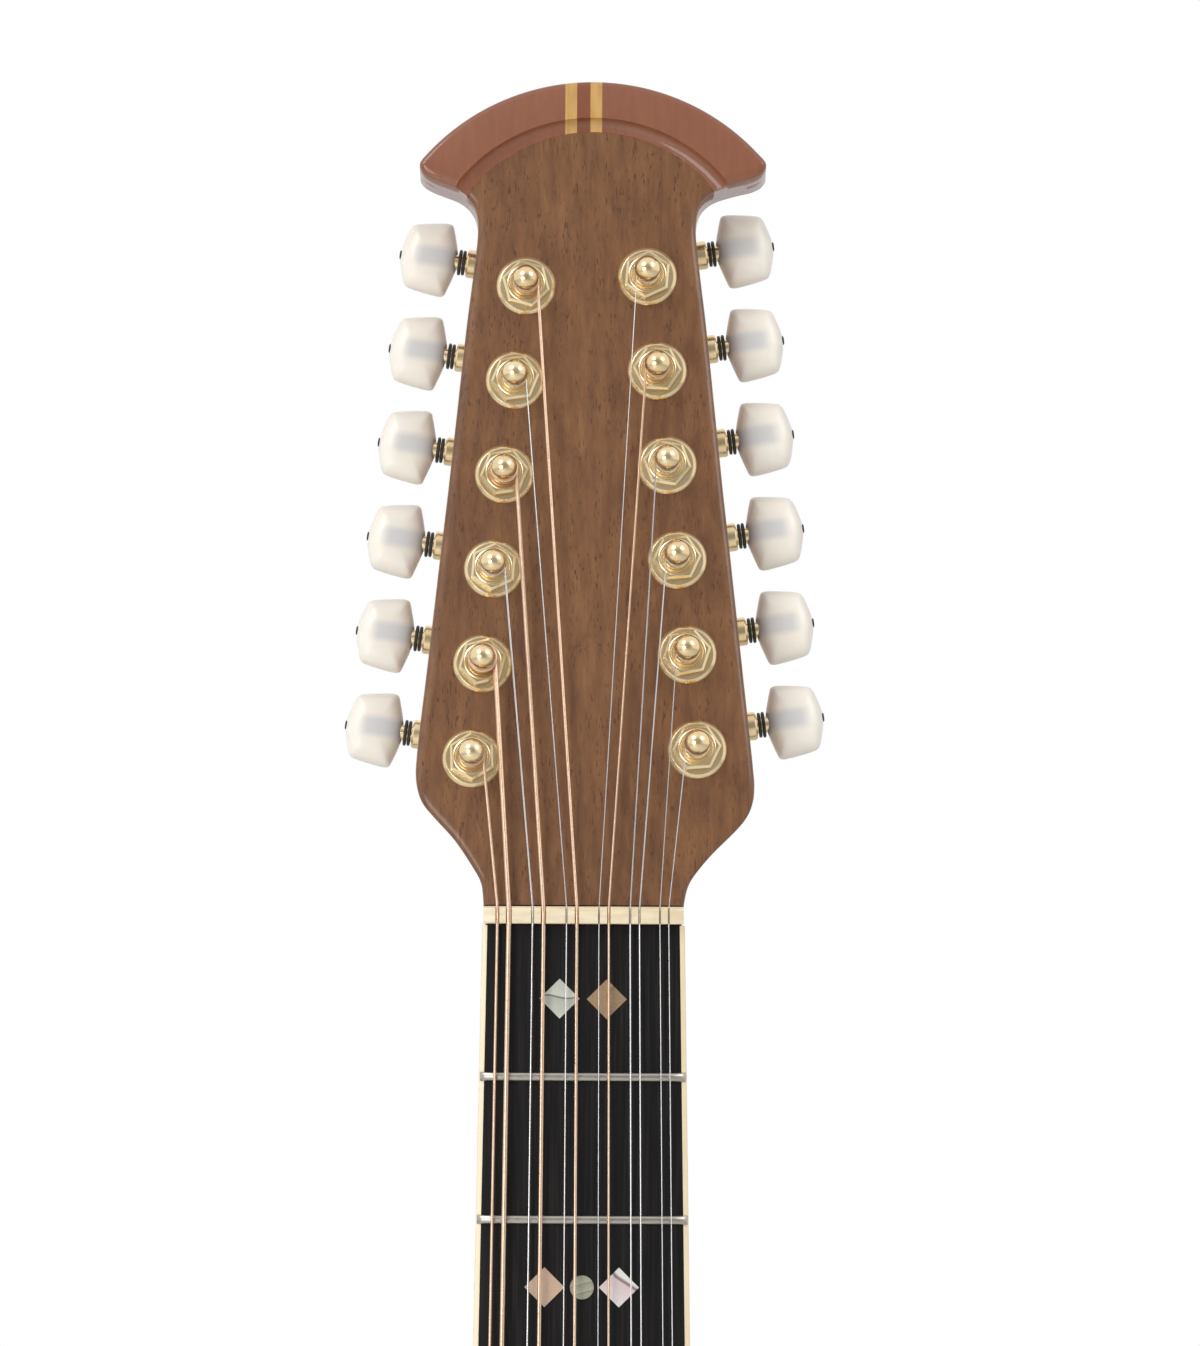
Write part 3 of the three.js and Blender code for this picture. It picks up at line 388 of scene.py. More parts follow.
HEAD_THICKNESS = 15
CREST_RISE = 2.5
CREST_OFFSET = 1.45  # the crest's middle is this far to the treble side
CREST_RADIUS, CREST_TOP = 53.3, 200.5
CREASE_RADIUS, CREASE_TOP = 41.0, 191.5
VENEER_ARC_RADIUS, VENEER_ARC_TOP = 36.9, 188.2
EDGE_ROUND = 1.3
EDGE_ROLL = 1.1  # by how much more than its depth the head's edge is rounded inwards
ROLL_START, WING_TIP, TIP_FADE = 16, 180, 4
SHOULDER_CUT, SHOULDER_TOP, SHOULDER_FADE = 2.5, 70, 30

# half-width and height of each side, from the nut to the wing's tip
TREBLE_SIDE = [
    (23.8, 0), (24.3, 3), (25.2, 5.7), (27.1, 8.6), (30.7, 12.9), (36.4, 18.7), (39.0, 22.2),
    (40.2, 25.6), (40.5, 29.2), (40.2, 33.2), (39.1, 43.5), (37.5, 58), (35.0, 81), (32.4, 104.5),
    (28.8, 139.5), (27.3, 152), (26.1, 163), (26.3, 168.4), (27.5, 171.8), (30.3, 174.2),
    (35.0, 175.8), (39.0, 176.8), (41.4, 177.9), (42.6, 179.3), (42.8, 180.6), (42.1, 181.8),
]
BASS_SIDE = [
    (23.8, 0), (24.0, 3), (24.5, 5.7), (26.1, 8.8), (30.6, 15.6), (35.6, 21.2), (38.4, 24.7),
    (39.7, 28.2), (40.1, 31.8), (39.9, 35.8), (39.1, 44), (37.5, 58), (35.0, 81), (32.4, 104.5),
    (28.8, 139.5), (27.3, 152), (26.1, 163), (26.4, 168.4), (27.8, 171.6), (30.4, 173.9),
    (34.0, 175.4), (36.8, 176.5), (38.8, 177.7), (39.9, 179.1), (40.0, 180.4), (39.3, 181.6),
]


def arc(radius, top, start, end, steps):
    """Points of an arc of the crest, by angles from straight up."""
    return [
        (
            CREST_OFFSET + radius * math.sin(start + (end - start) * k / steps),
            top - radius * (1 - math.cos(start + (end - start) * k / steps)),
        )
        for k in range(steps + 1)
    ]


CORNER_LEAD = 1.4  # the sides end this far outside the crest's arc, for a rounded tip
crest_reach = math.asin((TREBLE_SIDE[-1][0] - CREST_OFFSET - CORNER_LEAD) / CREST_RADIUS)
head_outline = (
    through(TREBLE_SIDE, 5)
    + arc(CREST_RADIUS, CREST_TOP, crest_reach, -crest_reach, 64)
    + [(-x, z) for x, z in reversed(through(BASS_SIDE, 5))]
)


def roll(z):
    """How far an edge's rounding reaches in along the head, in multiples of its depth."""
    return 1 + EDGE_ROLL * clamp(z / ROLL_START) * clamp((WING_TIP - z) / TIP_FADE)


def rounded_slab(outline, front, back, front_round, back_round, steps=4, base=False):
    """Rings of a slab between two depths, with its front and back edges rounded over."""
    rings = []
    for radius, level, way in ((back_round, back, -1), (front_round, front, 1)):
        turn = []
        for k in range(steps + 1):
            angle = math.radians(90) * k / steps
            depth = level + way * radius * (1 - math.cos(angle))
            turn.append((depth, radius * (1 - math.sin(angle))))
        rings += turn if way < 0 else reversed(turn)
    reach = roll if base else (lambda z: 1.0)
    return [at_depth(inset(outline, lambda z, d=far: d * reach(z), base), depth) for depth, far in rings]


def undercut(ring, front, back):
    """A ring of the head drawn in towards the back, where the shoulders are carved under."""
    level = ring[0][1]
    share = clamp((level - front) / (back - front))
    if share == 0:
        return ring
    flat = [(x, z) for x, _, z in ring]
    cut = SHOULDER_CUT * share
    return at_depth(inset(flat, lambda z: cut * clamp((SHOULDER_TOP - z) / SHOULDER_FADE), base=True), level)


def grain(finish, along, across):
    """Object coordinates stretched so that noise runs along the neck."""
    return finish.scaled(finish.place(), across, across, along)


MAHOGANY, MAHOGANY_DARK = (0.25, 0.083, 0.034), (0.2, 0.062, 0.026)
MAPLE, MAPLE_DARK = (0.56, 0.32, 0.09), (0.46, 0.25, 0.065)
STRIP_CENTRE, STRIP_INNER, STRIP_OUTER = -0.9 * MM, 1.6 * MM, 4.4 * MM

lamination = Finish("laminated_mahogany_and_maple")
streaks = lamination.noise(grain(lamination, 25, 700), detail=5)
fine = lamination.noise(grain(lamination, 90, 2600), detail=2)
clouds = lamination.noise(grain(lamination, 12, 90), detail=2)
sideways = (lamination.axis(lamination.place(), "X") - STRIP_CENTRE).math("ABSOLUTE")
GLUE_LINE = 0.08 * MM
maple_strip = sideways.rise(STRIP_INNER - GLUE_LINE, STRIP_INNER + GLUE_LINE) * (
    1.0 - sideways.rise(STRIP_OUTER - GLUE_LINE, STRIP_OUTER + GLUE_LINE)
)
middle_strip = 1.0 - sideways.rise(STRIP_INNER - GLUE_LINE, STRIP_INNER + GLUE_LINE)
red_wood = lamination.blend((streaks * 1.2 + clouds * 0.6 - 0.45).clamped(), MAHOGANY_DARK, MAHOGANY)
pores = fine.rise(0.62, 0.7)
red_wood = lamination.blend(pores * 0.2, red_wood, (0.15, 0.045, 0.02))
red_wood = lamination.blend(middle_strip * 0.85, red_wood, (0.19, 0.044, 0.01))
pale_wood = lamination.blend(streaks.rise(0.4, 0.7), MAPLE, MAPLE_DARK)
neck_wood = lamination.coat(
    Base_Color=lamination.blend(maple_strip, red_wood, pale_wood),
    Roughness=0.42 + 0.1 * streaks,
    Normal=lamination.bump(fine, 0.00002, 0.35),
    Coat_Weight=0.55,
    Coat_Roughness=0.07,
)

core_rings = [
    undercut(ring, 1.6, HEAD_THICKNESS)
    for ring in rounded_slab(head_outline, 0, HEAD_THICKNESS, EDGE_ROUND, 1.2, base=True)
]
head_core = blank("head_core", *loft(core_rings), on_head)
# the crest stands out by a hair, so that its sides never lie in the core's
crest_outline = inset(head_outline, -0.03, base=True)
crest = blank(
    "crest", *loft(rounded_slab(crest_outline, -CREST_RISE, 6, EDGE_ROUND, 0.2, base=True)), on_head
)


def below_arc(radius, top, depth, reach=1.7):
    """A ring at one depth that holds all of the head below an arc of the crest."""
    run = arc(radius, top, -math.radians(86), math.radians(86), 72)
    low = [(CREST_OFFSET + reach * radius, -20), (CREST_OFFSET - reach * radius, -20)]
    flank = top - 0.95 * radius
    run = [(CREST_OFFSET - reach * radius, flank)] + run + [(CREST_OFFSET + reach * radius, flank)]
    return at_depth(run + low, depth)


# the cove between the crest's face and the veneer is hollow, a quarter of a round moulding
COVE_STEPS, COVE_START = 7, math.radians(12)
cove = [below_arc(CREASE_RADIUS, CREASE_TOP, -12)]
for k in range(COVE_STEPS + 1):
    angle = COVE_START + (math.radians(90) - COVE_START) * k / COVE_STEPS
    share = 1 - math.cos(angle) / math.cos(COVE_START)
    depth = CREST_RISE * (math.sin(angle) - 1) / (1 - math.sin(COVE_START))
    radius = CREASE_RADIUS + (VENEER_ARC_RADIUS - CREASE_RADIUS) * share
    top = CREASE_TOP + (VENEER_ARC_TOP - CREASE_TOP) * share
    cove.append(below_arc(radius, top, depth))
cove.append(below_arc(VENEER_ARC_RADIUS, VENEER_ARC_TOP, 12))
cutter = blank("cutter", *loft(cove), on_head)
cut_with(crest, cutter, "DIFFERENCE")
cut_with(head_core, crest, "UNION")
carved(head_core, "head_core", neck_wood, node="neck", slot="mahogany", crease=24)

# the neck's shaft, swelling behind the nut and running out into the heel at the body
NECK_TOP = board_high.y / MM + SEAT
NECK_BACK, NECK_BACK_LOW = 21.5, 24.0
HEEL_DEPTH, HEEL_WIDTH = 84.0, 50.0
SCALE_LENGTH = 641
body_joint = bowl_high.z / MM - 0.1


def board_width(z):
    return 48.2 - 0.034 * z


def neck_ring(width, front, back, z, sides=28, square=2.2):
    ring = []
    for k in range(sides + 1):
        angle = math.pi * k / sides
        across = math.copysign(abs(math.cos(angle)) ** (2 / square), math.cos(angle)) * width / 2
        ring.append((across, front + (back - front) * math.sin(angle) ** (2 / square), z))
    return ring


heel_profile = through([(40, 0), (30, 0.02), (22, 0.09), (14, 0.24), (7, 0.5), (2, 0.8), (-2, 1.0)], 6)
shaft = [neck_ring(HEEL_WIDTH, NECK_TOP, HEEL_DEPTH, body_joint - 42)]
for rise, share in reversed(heel_profile):
    z = body_joint + rise
    back = NECK_BACK_LOW + (HEEL_DEPTH - NECK_BACK_LOW) * share
    width = board_width(z) - 0.4 + (HEEL_WIDTH - board_width(z)) * min(1, share)
    shaft.append(neck_ring(width, NECK_TOP, back, z))
SHAFT_RINGS = 14
for k in range(1, SHAFT_RINGS + 1):
    z = (body_joint + 40) * (1 - k / SHAFT_RINGS)
    back = NECK_BACK + (NECK_BACK_LOW - NECK_BACK) * min(1, z / (-0.5 * SCALE_LENGTH))
    shaft.append(neck_ring(board_width(z) - 0.4, NECK_TOP, back, z))
piece("neck_shaft", *loft(shaft), neck_wood, node="neck", slot="mahogany")

swell = []
for z, width, front, back in through(
    [(-12, 46.2, 8.0, 22.0), (-4, 46.6, 6.0, 22.0), (4, 46.4, 4.0, 21.6), (14, 45.4, 3.6, 18.6),
     (26, 41.5, 3.6, 16.2), (36, 35, 3.6, 14.6)], 5,
):
    swell.append(neck_ring(width, front, back, z))
piece("neck_volute", *loft(swell), neck_wood, on_head, node="neck", slot="mahogany")

# ---------------------------------------------------------------------------------------------
# Head veneer: a thin leaf of walnut glued on the head's face up to the crest, its grain running
# up the head. Its edge is rounded over with the wood below it and lacquered.

VENEER_THICKNESS, VENEER_PROUD, VENEER_TUCK = 1.15, 0.03, 0.3
walnut = Finish("walnut_veneer")
wave = walnut.noise(grain(walnut, 9, 70), detail=2, distortion=0.4)
bands = walnut.noise(grain(walnut, 6, 420), detail=4, distortion=0.3)
lines = walnut.noise(grain(walnut, 60, 1500), detail=3)
pore = walnut.noise(grain(walnut, 110, 2300), detail=2).rise(0.57, 0.66)
pore_rows = walnut.noise(grain(walnut, 12, 500), detail=2).rise(0.4, 0.6)
tone = (bands * 1.3 + wave * 0.5 + lines * 0.5 - 0.72).clamped()
leaf = walnut.ramp(
    tone, (0.0, (0.11, 0.044, 0.018)), (0.35, (0.16, 0.069, 0.028)), (0.6, (0.195, 0.087, 0.035)),
    (1.0, (0.25, 0.12, 0.05)),
)
leaf = walnut.blend(pore * pore_rows * 0.75, leaf, (0.07, 0.026, 0.012))
veneer_wood = walnut.coat(
    Base_Color=leaf,
    Roughness=0.45 - 0.1 * bands,
    Normal=walnut.bump(lines, 0.000015, 0.4),
    Specular_IOR_Level=0.3,
    Coat_Weight=0.35,
    Coat_Roughness=0.06,
)
leaf_rings = rounded_slab(
    head_outline, -VENEER_PROUD, VENEER_THICKNESS, VENEER_THICKNESS, 0.02, base=True
)
veneer = blank("veneer", *loft(leaf_rings), on_head)
under_arc = [below_arc(VENEER_ARC_RADIUS + VENEER_TUCK, VENEER_ARC_TOP + VENEER_TUCK, n) for n in (-6, 6)]
cut_with(veneer, blank("cutter", *loft(under_arc), on_head), "INTERSECT")
carved(veneer, "head_veneer_leaf", veneer_wood, node="head_veneer", slot="walnut")

# ---------------------------------------------------------------------------------------------
# Fretboard: a black ebony board, crowned across, edged with cream binding. Nickel-silver frets
# are hammered into it across its whole width, and the inlays are cut from shell and set flush.

CROWN_RADIUS = 305
BOARD_THICKNESS = board_high.y / MM
BOARD_END = board_low.z / MM
BINDING = 1.25


def crown(x):
    return x * x / (2 * CROWN_RADIUS)


def fret_z(fret):
    return -SCALE_LENGTH * (1 - 2 ** (-fret / 12))


def merged(*shapes):
    """Several shapes' points and faces as one."""
    points, faces = [], []
    for more_points, more_faces in shapes:
        start = len(points)
        points += more_points
        faces += [tuple(i + start for i in face) for face in more_faces]
    return points, faces


ALONG_X, ALONG_Y, ALONG_Z = Vector((1, 0, 0)), Vector((0, 1, 0)), Vector((0, 0, 1))


def hoop(centre, side, up, radius, sides):
    """Points of a circle about a centre, starting at side and turning to up."""
    turns = [math.tau * k / sides for k in range(sides)]
    return [tuple(centre + side * math.cos(a) * radius + up * math.sin(a) * radius) for a in turns]


ebony = Finish("ebony")
ebony_grain = ebony.noise(grain(ebony, 40, 1600), detail=4)
ebony_wood = ebony.coat(
    Base_Color=ebony.ramp(
        ebony_grain,
        (0.3, (0.006, 0.0055, 0.0055)), (0.55, (0.011, 0.01, 0.01)), (0.75, (0.022, 0.019, 0.018)),
    ),
    Roughness=0.4 + 0.16 * ebony_grain,
    Specular_IOR_Level=0.12,
    Normal=ebony.bump(ebony_grain, 0.00002, 0.3),
)
half_nut, half_end = board_width(0) / 2 - BINDING, board_width(BOARD_END) / 2 - BINDING
BOARD_COLUMNS = 16
board_rings = []
for k in range(BOARD_COLUMNS + 1):
    share = -1 + 2 * k / BOARD_COLUMNS
    low, high = share * half_end, share * half_nut
    front = [(low, crown(low), BOARD_END), (high, crown(high), 0)]
    board_rings.append(front + [(high, BOARD_THICKNESS, 0), (low, BOARD_THICKNESS, BOARD_END)])
piece("fretboard_ebony", *loft(board_rings), ebony_wood, node="fretboard", slot="ebony")

cream = Finish("cream_binding")
yellowing = cream.noise(cream.place(), scale=90, detail=2)
binding_finish = cream.coat(
    Base_Color=cream.blend(yellowing, (0.76, 0.62, 0.4), (0.84, 0.72, 0.5)),
    Roughness=0.28 + 0.1 * yellowing,
    Coat_Weight=0.3,
)
for side, label in ((-1, "bass"), (1, "treble")):
    rings = []
    for z, outer in ((BOARD_END, half_end + BINDING), (0, half_nut + BINDING)):
        inner = outer - BINDING
        rings.append(
            [
                (side * inner, crown(inner), z),
                (side * (outer - 0.35), crown(outer), z),
                (side * (outer - 0.08), crown(outer) + 0.12, z),
                (side * outer, crown(outer) + 0.4, z),
                (side * outer, BOARD_THICKNESS, z),
                (side * inner, BOARD_THICKNESS, z),
            ]
        )
    piece(f"board_binding_{label}", *loft(rings), binding_finish, node="fretboard", slot="bone")

nickel = Finish("nickel_silver")
scuffs = nickel.noise(nickel.scaled(nickel.place(), 300, 300, 4000), detail=3)
nickel_finish = nickel.coat(
    Base_Color=nickel.blend(scuffs, (0.37, 0.34, 0.3), (0.53, 0.5, 0.45)),
    Metallic=1.0,
    Roughness=0.22 + 0.18 * scuffs,
)
FRET_WIDTH, FRET_HEIGHT, FRET_COUNT = 2.2, 1.05, 20
FRET_STATIONS = (-1, -0.985, -0.955, -0.8, -0.6, -0.4, -0.2, 0, 0.2, 0.4, 0.6, 0.8, 0.955, 0.985, 1)
bars = []
for fret in range(1, FRET_COUNT + 1):
    z = fret_z(fret)
    half = board_width(z) / 2 - 0.25
    rings = []
    for share in FRET_STATIONS:
        x = share * half
        height = FRET_HEIGHT * min(1.0, 0.12 + (1 - abs(share)) * half / 1.1)
        ring = []
        for k in range(9):
            angle = math.pi * k / 8
            ring.append((x, crown(x) - height * math.sin(angle) ** 0.8, z + FRET_WIDTH / 2 * math.cos(angle)))
        ring += [(x, 1.5, z - FRET_WIDTH / 2), (x, 1.5, z + FRET_WIDTH / 2)]
        rings.append(ring)
    bars.append(loft(rings))
piece("frets", *merged(*bars), nickel_finish, node="fretboard", slot="steel", crease=50)


def shell(name, light, tint, vein, scale, turn):
    """Polished shell: cloudy colours in leaning, gently curved layers parted by dark growth lines."""
    pearl = Finish(name)
    spot = pearl.node("ShaderNodeMapping", None, {"Vector": pearl.place(), "Rotation": (0.0, turn, 0.0)})
    bend = pearl.noise(spot, scale=110, detail=0)
    cloud = pearl.noise(spot, scale=430, detail=2, distortion=0.6)
    layer = (pearl.axis(spot, "Z") * scale + bend * 1.1).math("FRACT")
    line = layer.rise(0.9, 0.94) * (1.0 - layer.rise(0.95, 1.0))
    base = pearl.blend((layer * 0.8 + cloud * 0.9 - 0.45).clamped(), light, tint)
    base = pearl.blend(line * 0.8, base, vein)
    return pearl.coat(Base_Color=base, Roughness=0.2 + 0.15 * cloud, Coat_Weight=0.6)


white_shell = shell("abalone_white", (0.58, 0.59, 0.51), (0.36, 0.39, 0.33), (0.1, 0.06, 0.06), 165, 0.12)
tan_shell = shell("shell_tan", (0.36, 0.23, 0.12), (0.25, 0.17, 0.1), (0.2, 0.11, 0.06), 120, 1.1)
pink_shell = shell("shell_pink_tan", (0.66, 0.45, 0.34), (0.42, 0.32, 0.2), (0.34, 0.2, 0.13), 110, 0.9)
green_shell = shell("abalone_green", (0.4, 0.38, 0.28), (0.24, 0.26, 0.22), (0.14, 0.12, 0.09), 420, 0.35)
bright_shell = shell("abalone_bright", (0.74, 0.76, 0.7), (0.66, 0.46, 0.5), (0.1, 0.09, 0.08), 150, -0.6)

INLAY_PROUD = 0.05


def inlay(name, x, z, half, finish, dot=False):
    """A flush piece of shell: a square on its corner, or a dot."""
    columns = 16 if dot else 8
    rings = []
    for k in range(columns + 1):
        share = -1 + 2 * k / columns
        if dot:
            share = math.sin(math.radians(90) * share)
        reach = half * (math.sqrt(max(0, 1 - share * share)) if dot else 1 - abs(share))
        reach = max(reach, 0.02)
        across = x + share * half
        face = crown(across) - INLAY_PROUD
        rings.append([(across, y, z + way * reach) for y, way in ((face, -1), (face, 1), (1, 1), (1, -1))])
    piece(name, *loft(rings), finish, node="fretboard", slot="bone", crease=20)


DIAMOND, DOT = 4.75, 2.85
inlay("inlay_1_a", -5.6, -17.4, DIAMOND, white_shell)
inlay("inlay_1_b", 5.6, -17.5, DIAMOND, tan_shell)
third = (fret_z(2) + fret_z(3)) / 2
inlay("inlay_3_a", -8.9, third, DIAMOND, pink_shell)
inlay("inlay_3_b", 0, third, DOT, green_shell, True)
inlay("inlay_3_c", 8.8, third, DIAMOND, bright_shell)
for fret, pair in ((5, True), (7, False), (9, True), (12, False), (15, True), (17, False)):
    middle = (fret_z(fret - 1) + fret_z(fret)) / 2
    size = DIAMOND * (0.9 if fret < 15 else 0.75)
    if pair:
        inlay(f"inlay_{fret}_a", -6, middle, size, tan_shell)
        inlay(f"inlay_{fret}_b", 6, middle, size, white_shell)
    else:
        inlay(f"inlay_{fret}_a", -9.4, middle, size, bright_shell)
        inlay(f"inlay_{fret}_b", 0, middle, DOT * 0.9, green_shell, True)
        inlay(f"inlay_{fret}_c", 9.4, middle, size, pink_shell)

dark = Finish("dark_plastic")
dark_finish = dark.coat(
    Base_Color=dark.blend(dark.noise(dark.place(), scale=900), (0.012, 0.011, 0.01), (0.03, 0.026, 0.022)),
    Roughness=0.45,
)


MARKER_RADIUS, MARKER_DEPTH = 0.9, 2.4
for fret in (3, 5, 7, 9, 12):
    z = (fret_z(fret - 1) + fret_z(fret)) / 2
    edge = -board_width(z) / 2
    ease = 0.2 * MARKER_RADIUS
    stations = ((edge + 1, 0.8), (edge + 1 - ease, 1), (edge - 0.03 + ease, 1), (edge - 0.03, 0.8))
    rings = [
        hoop(Vector((x, MARKER_DEPTH, z)), ALONG_Z, ALONG_Y, MARKER_RADIUS * share, 16)
        for x, share in stations
    ]
    piece(f"side_marker_{fret}", *loft(rings), dark_finish, node="fretboard", slot="ebony")

# ---------------------------------------------------------------------------------------------
# Nut: a bar of polished bone glued at the end of the board, with a slot filed for each string.

FIRST_COURSE_X, COURSE_STEP, COURSE_CLOSING = -19.1, 8.3, 0.32
PAIR_SPACING, PAIR_CLOSING = 2.7, 0.12
NUT_HEIGHT, SLOT_FLOOR = 2.6, 1.5
NUT_WIDTH = 47.6
GAUGES = [0.69, 1.19, 0.46, 0.99, 0.30, 0.76, 0.24, 0.58, 0.36, 0.36, 0.26, 0.26]
PITCHES = ["e3", "e2", "a3", "a2", "d4", "d3", "g4", "g3", "b3", "b3", "e4", "e4"]


def string_x(index):
    course = index // 2
    middle = FIRST_COURSE_X + course * COURSE_STEP - COURSE_CLOSING * course * (course - 1) / 2
    half = (PAIR_SPACING - PAIR_CLOSING * course) / 2
    return middle + (half if index % 2 else -half)


bone = Finish("polished_bone")
bone_cloud = bone.noise(bone.scaled(bone.place(), 120, 500, 700), detail=4)
bone_finish = bone.coat(
    Base_Color=bone.ramp(bone_cloud, (0.3, (0.7, 0.57, 0.36)), (0.7, (0.82, 0.72, 0.52))),
    Roughness=0.3 + 0.12 * bone_cloud,
    Coat_Weight=0.25,
)
nut_rings = []
for k in range(21):
    x = -NUT_WIDTH / 2 + NUT_WIDTH * k / 20
    low = 0.5 if k in (0, 20) else 0
    top = crown(x) - NUT_HEIGHT + low
    profile = [(0.35, BOARD_THICKNESS), (0.35, top + 0.5), (0.55, top + 0.12), (1.0, top)]
    profile += [(3.4, top + 0.15), (4.1, top + 0.45), (4.5, top + 1.0), (4.5, BOARD_THICKNESS)]
    nut_rings.append([(x, y, z) for z, y in profile])
nut_blank = blank("nut_blank", *loft(nut_rings))
slots = []
for index, gauge in enumerate(GAUGES):
    x, half = string_x(index), gauge / 2 + 0.12
    floor_y = crown(x) - SLOT_FLOOR
    turn = [math.pi * k / 6 for k in range(7)]
    outline = [(x - half * math.cos(a), floor_y - half + half * math.sin(a)) for a in turn]
    outline = [(x - half, floor_y - 3)] + outline + [(x + half, floor_y - 3)]
    slots.append(loft([[(a, b, z) for a, b in outline] for z in (-1, 6)]))
cut_with(nut_blank, blank("slots", *merged(*slots)), "DIFFERENCE")
carved(nut_blank, "nut_bone", bone_finish, node="nut", slot="bone")

# ---------------------------------------------------------------------------------------------
# Tuning machines: gold-plated die castings screwed up through the head by a threaded sleeve, a
# washer and a hexagon nut. A worm on the button's shaft turns the post's wheel, and the string's
# turns lie below the post's ball end. The buttons are frosted translucent plastic.

gold = Finish("gold_plate")
wear = gold.noise(gold.place(), scale=70, detail=2)
gold_finish = gold.coat(
    Base_Color=gold.blend(wear.rise(0.3, 0.7), (0.82, 0.63, 0.36), (0.88, 0.71, 0.44)),
    Metallic=1.0,
    Roughness=0.2 + 0.05 * wear,
)
frosted = Finish("frosted_button")
along = frosted.node("ShaderNodeUVMap", {"uv_map": "button"})
lengthwise, sideways_uv = frosted.axis(along, "X"), frosted.axis(along, "Y")
off_axis, from_neck = sideways_uv.math("ABSOLUTE") * 9.0, lengthwise * 13.7  # in millimetres
# painted shade: a darker grey-blue band along the button's middle, where the shaft inside shows through the
# frosted plastic, painted into its colour
core = (1.0 - off_axis.rise(1.1, 3.4)) * (1.0 - from_neck.rise(8.0, 11.5))
mist = frosted.noise(frosted.place(), scale=260, detail=2)
button_colour = frosted.blend(mist, (0.82, 0.775, 0.68), (0.88, 0.84, 0.76))
# painted glow: the button's outer end is painted paler, as if lit through the frosted plastic
painted_end_glow = from_neck.rise(9.0, 13.7) * 0.3
# the painted shade of the shaft seen through the plastic, mixed into the button's colour
button_colour = frosted.blend(core * 0.55, button_colour, (0.47, 0.5, 0.55))
button_colour = frosted.blend(painted_end_glow, button_colour, (0.9, 0.86, 0.8))
button_finish = frosted.coat(
    Base_Color=button_colour,
    Roughness=0.36,
    Subsurface_Weight=0.25,
    Subsurface_Scale=0.004,
    Coat_Weight=0.25,
    Coat_Roughness=0.25,
)

GEAR_DEPTH, WORM_OFFSET = 20.1, 8.0
CASE_FRONT, CASE_BACK = 15.3, 24.9
BUTTON_START, BUTTON_LENGTH = 17.8, 13.7
BUTTON_HALF, BUTTON_THICK = 9.0, 3.9
STUB_END = 15.5


def turned(profile, sides, closed=False):
    """A shape turned about a post's axis from (radius, n) pairs, in a machine's own (u, v, n)."""
    rings = [hoop(Vector((0, 0, n)), ALONG_X, ALONG_Y, radius, sides) for radius, n in profile]
    return loft(rings, closed=closed, capped=not closed)


def turned_on_shaft(profile, sides):
    """A shape turned about a key's shaft, from (radius, u) pairs."""
    return loft(
        [hoop(Vector((u, WORM_OFFSET, -GEAR_DEPTH)), ALONG_Y, ALONG_Z, r, sides) for r, u in profile]
    )


washer_profile = [
    (3.3, 1.15), (5.9, 1.15), (6.1, 1.15), (6.3, 1.1), (6.85, 0.62), (7.1, 0.25), (7.15, 0.02), (3.3, 0.02)
]
ring_profile = [
    (3.6, 1.0), (4.5, 1.0), (4.55, 2.7), (4.5, 3.18), (4.3, 3.28), (3.7, 3.28), (3.5, 3.15), (3.45, 1.0)
]
bearing_profile = [(3.4, 6.0), (3.4, STUB_END - 0.4), (3.1, STUB_END)]
shaft_profile = [(2.0, 0.0), (2.0, BUTTON_START - 0.4), (1.9, BUTTON_START + 1.2)]
end = BUTTON_START + BUTTON_LENGTH
screw_profile = [(1.1, end - 0.9), (1.1, end + 0.05), (0.9, end + 0.25), (0.4, end + 0.3)]


def hex_nut():
    """A hexagon nut with its upper edges bevelled, from the washer up."""
    rings = []
    for n, bevel in ((1.0, 0.0), (2.75, 0.0), (3.2, 0.55)):
        ring = []
        for k in range(48):
            angle = math.tau * k / 48
            from_flat = (angle + math.pi / 6) % (math.pi / 3) - math.pi / 6
            radius = min((5.1 - bevel) / math.cos(from_flat), 5.85 - 1.1 * bevel)
            ring.append((radius * math.cos(angle), radius * math.sin(angle), n))
        rings.append(ring)
    return rings


def post_profile():
    """The post from the top of its ball, past the neck that takes the string, into the head."""
    ball = [(math.radians(a), 3.1) for a in range(80, -50, -10)]
    ball = [(radius * math.cos(a), 9.0 + radius * math.sin(a)) for a, radius in ball]
    stem = [(2.15, 6.3), (2.1, 5.6), (2.4, 4.8), (2.9, 4.4), (3.0, 4.2), (3.0, -HEAD_THICKNESS)]
    return [(0.15, 12.09)] + ball + stem


def wraps(gauge):
    """The string's turns round the post, as a wavy stack of closed rings."""
    shapes = []
    radius = gauge / 2
    for turn in range(2 if gauge > 0.8 else 3):
        reach, height = 2.2 + radius + 0.25 * (turn % 2), 5.0 + radius + turn * gauge * 1.02
        rings = []
        for k in range(40):
            outwards = Vector((math.cos(math.tau * k / 40), math.sin(math.tau * k / 40), 0))
            rings.append(hoop(outwards * reach + ALONG_Z * height, outwards, ALONG_Z, radius, 10))
        shapes.append(loft(rings, closed=True))
    return merged(*shapes)


def casing_rings():
    """The rounded casting behind the head, in rings from the head outwards."""
    low, high, wide = -7.15, 12.6, 7.4
    rings = []
    for n, shrink, corner in (
        (-CASE_FRONT, 0.15, 2.2), (-CASE_FRONT - 0.4, 0, 2.4), (-CASE_BACK + 2.2, 0, 2.6),
        (-CASE_BACK + 0.9, 0.5, 2.8), (-CASE_BACK + 0.2, 1.5, 3.2), (-CASE_BACK, 2.6, 3.4),
    ):
        ring = []
        for cx, cv, start in ((wide, high, 0), (-wide, high, 90), (-wide, low, 180), (wide, low, 270)):
            for k in range(7):
                angle = math.radians(start + 15 * k)
                u = cx - math.copysign(corner, cx) + (corner - shrink) * math.cos(angle)
                v = cv - math.copysign(corner, cv - 2) + (corner - shrink) * math.sin(angle)
                ring.append((u, v, n))
        rings.append(ring)
    return rings


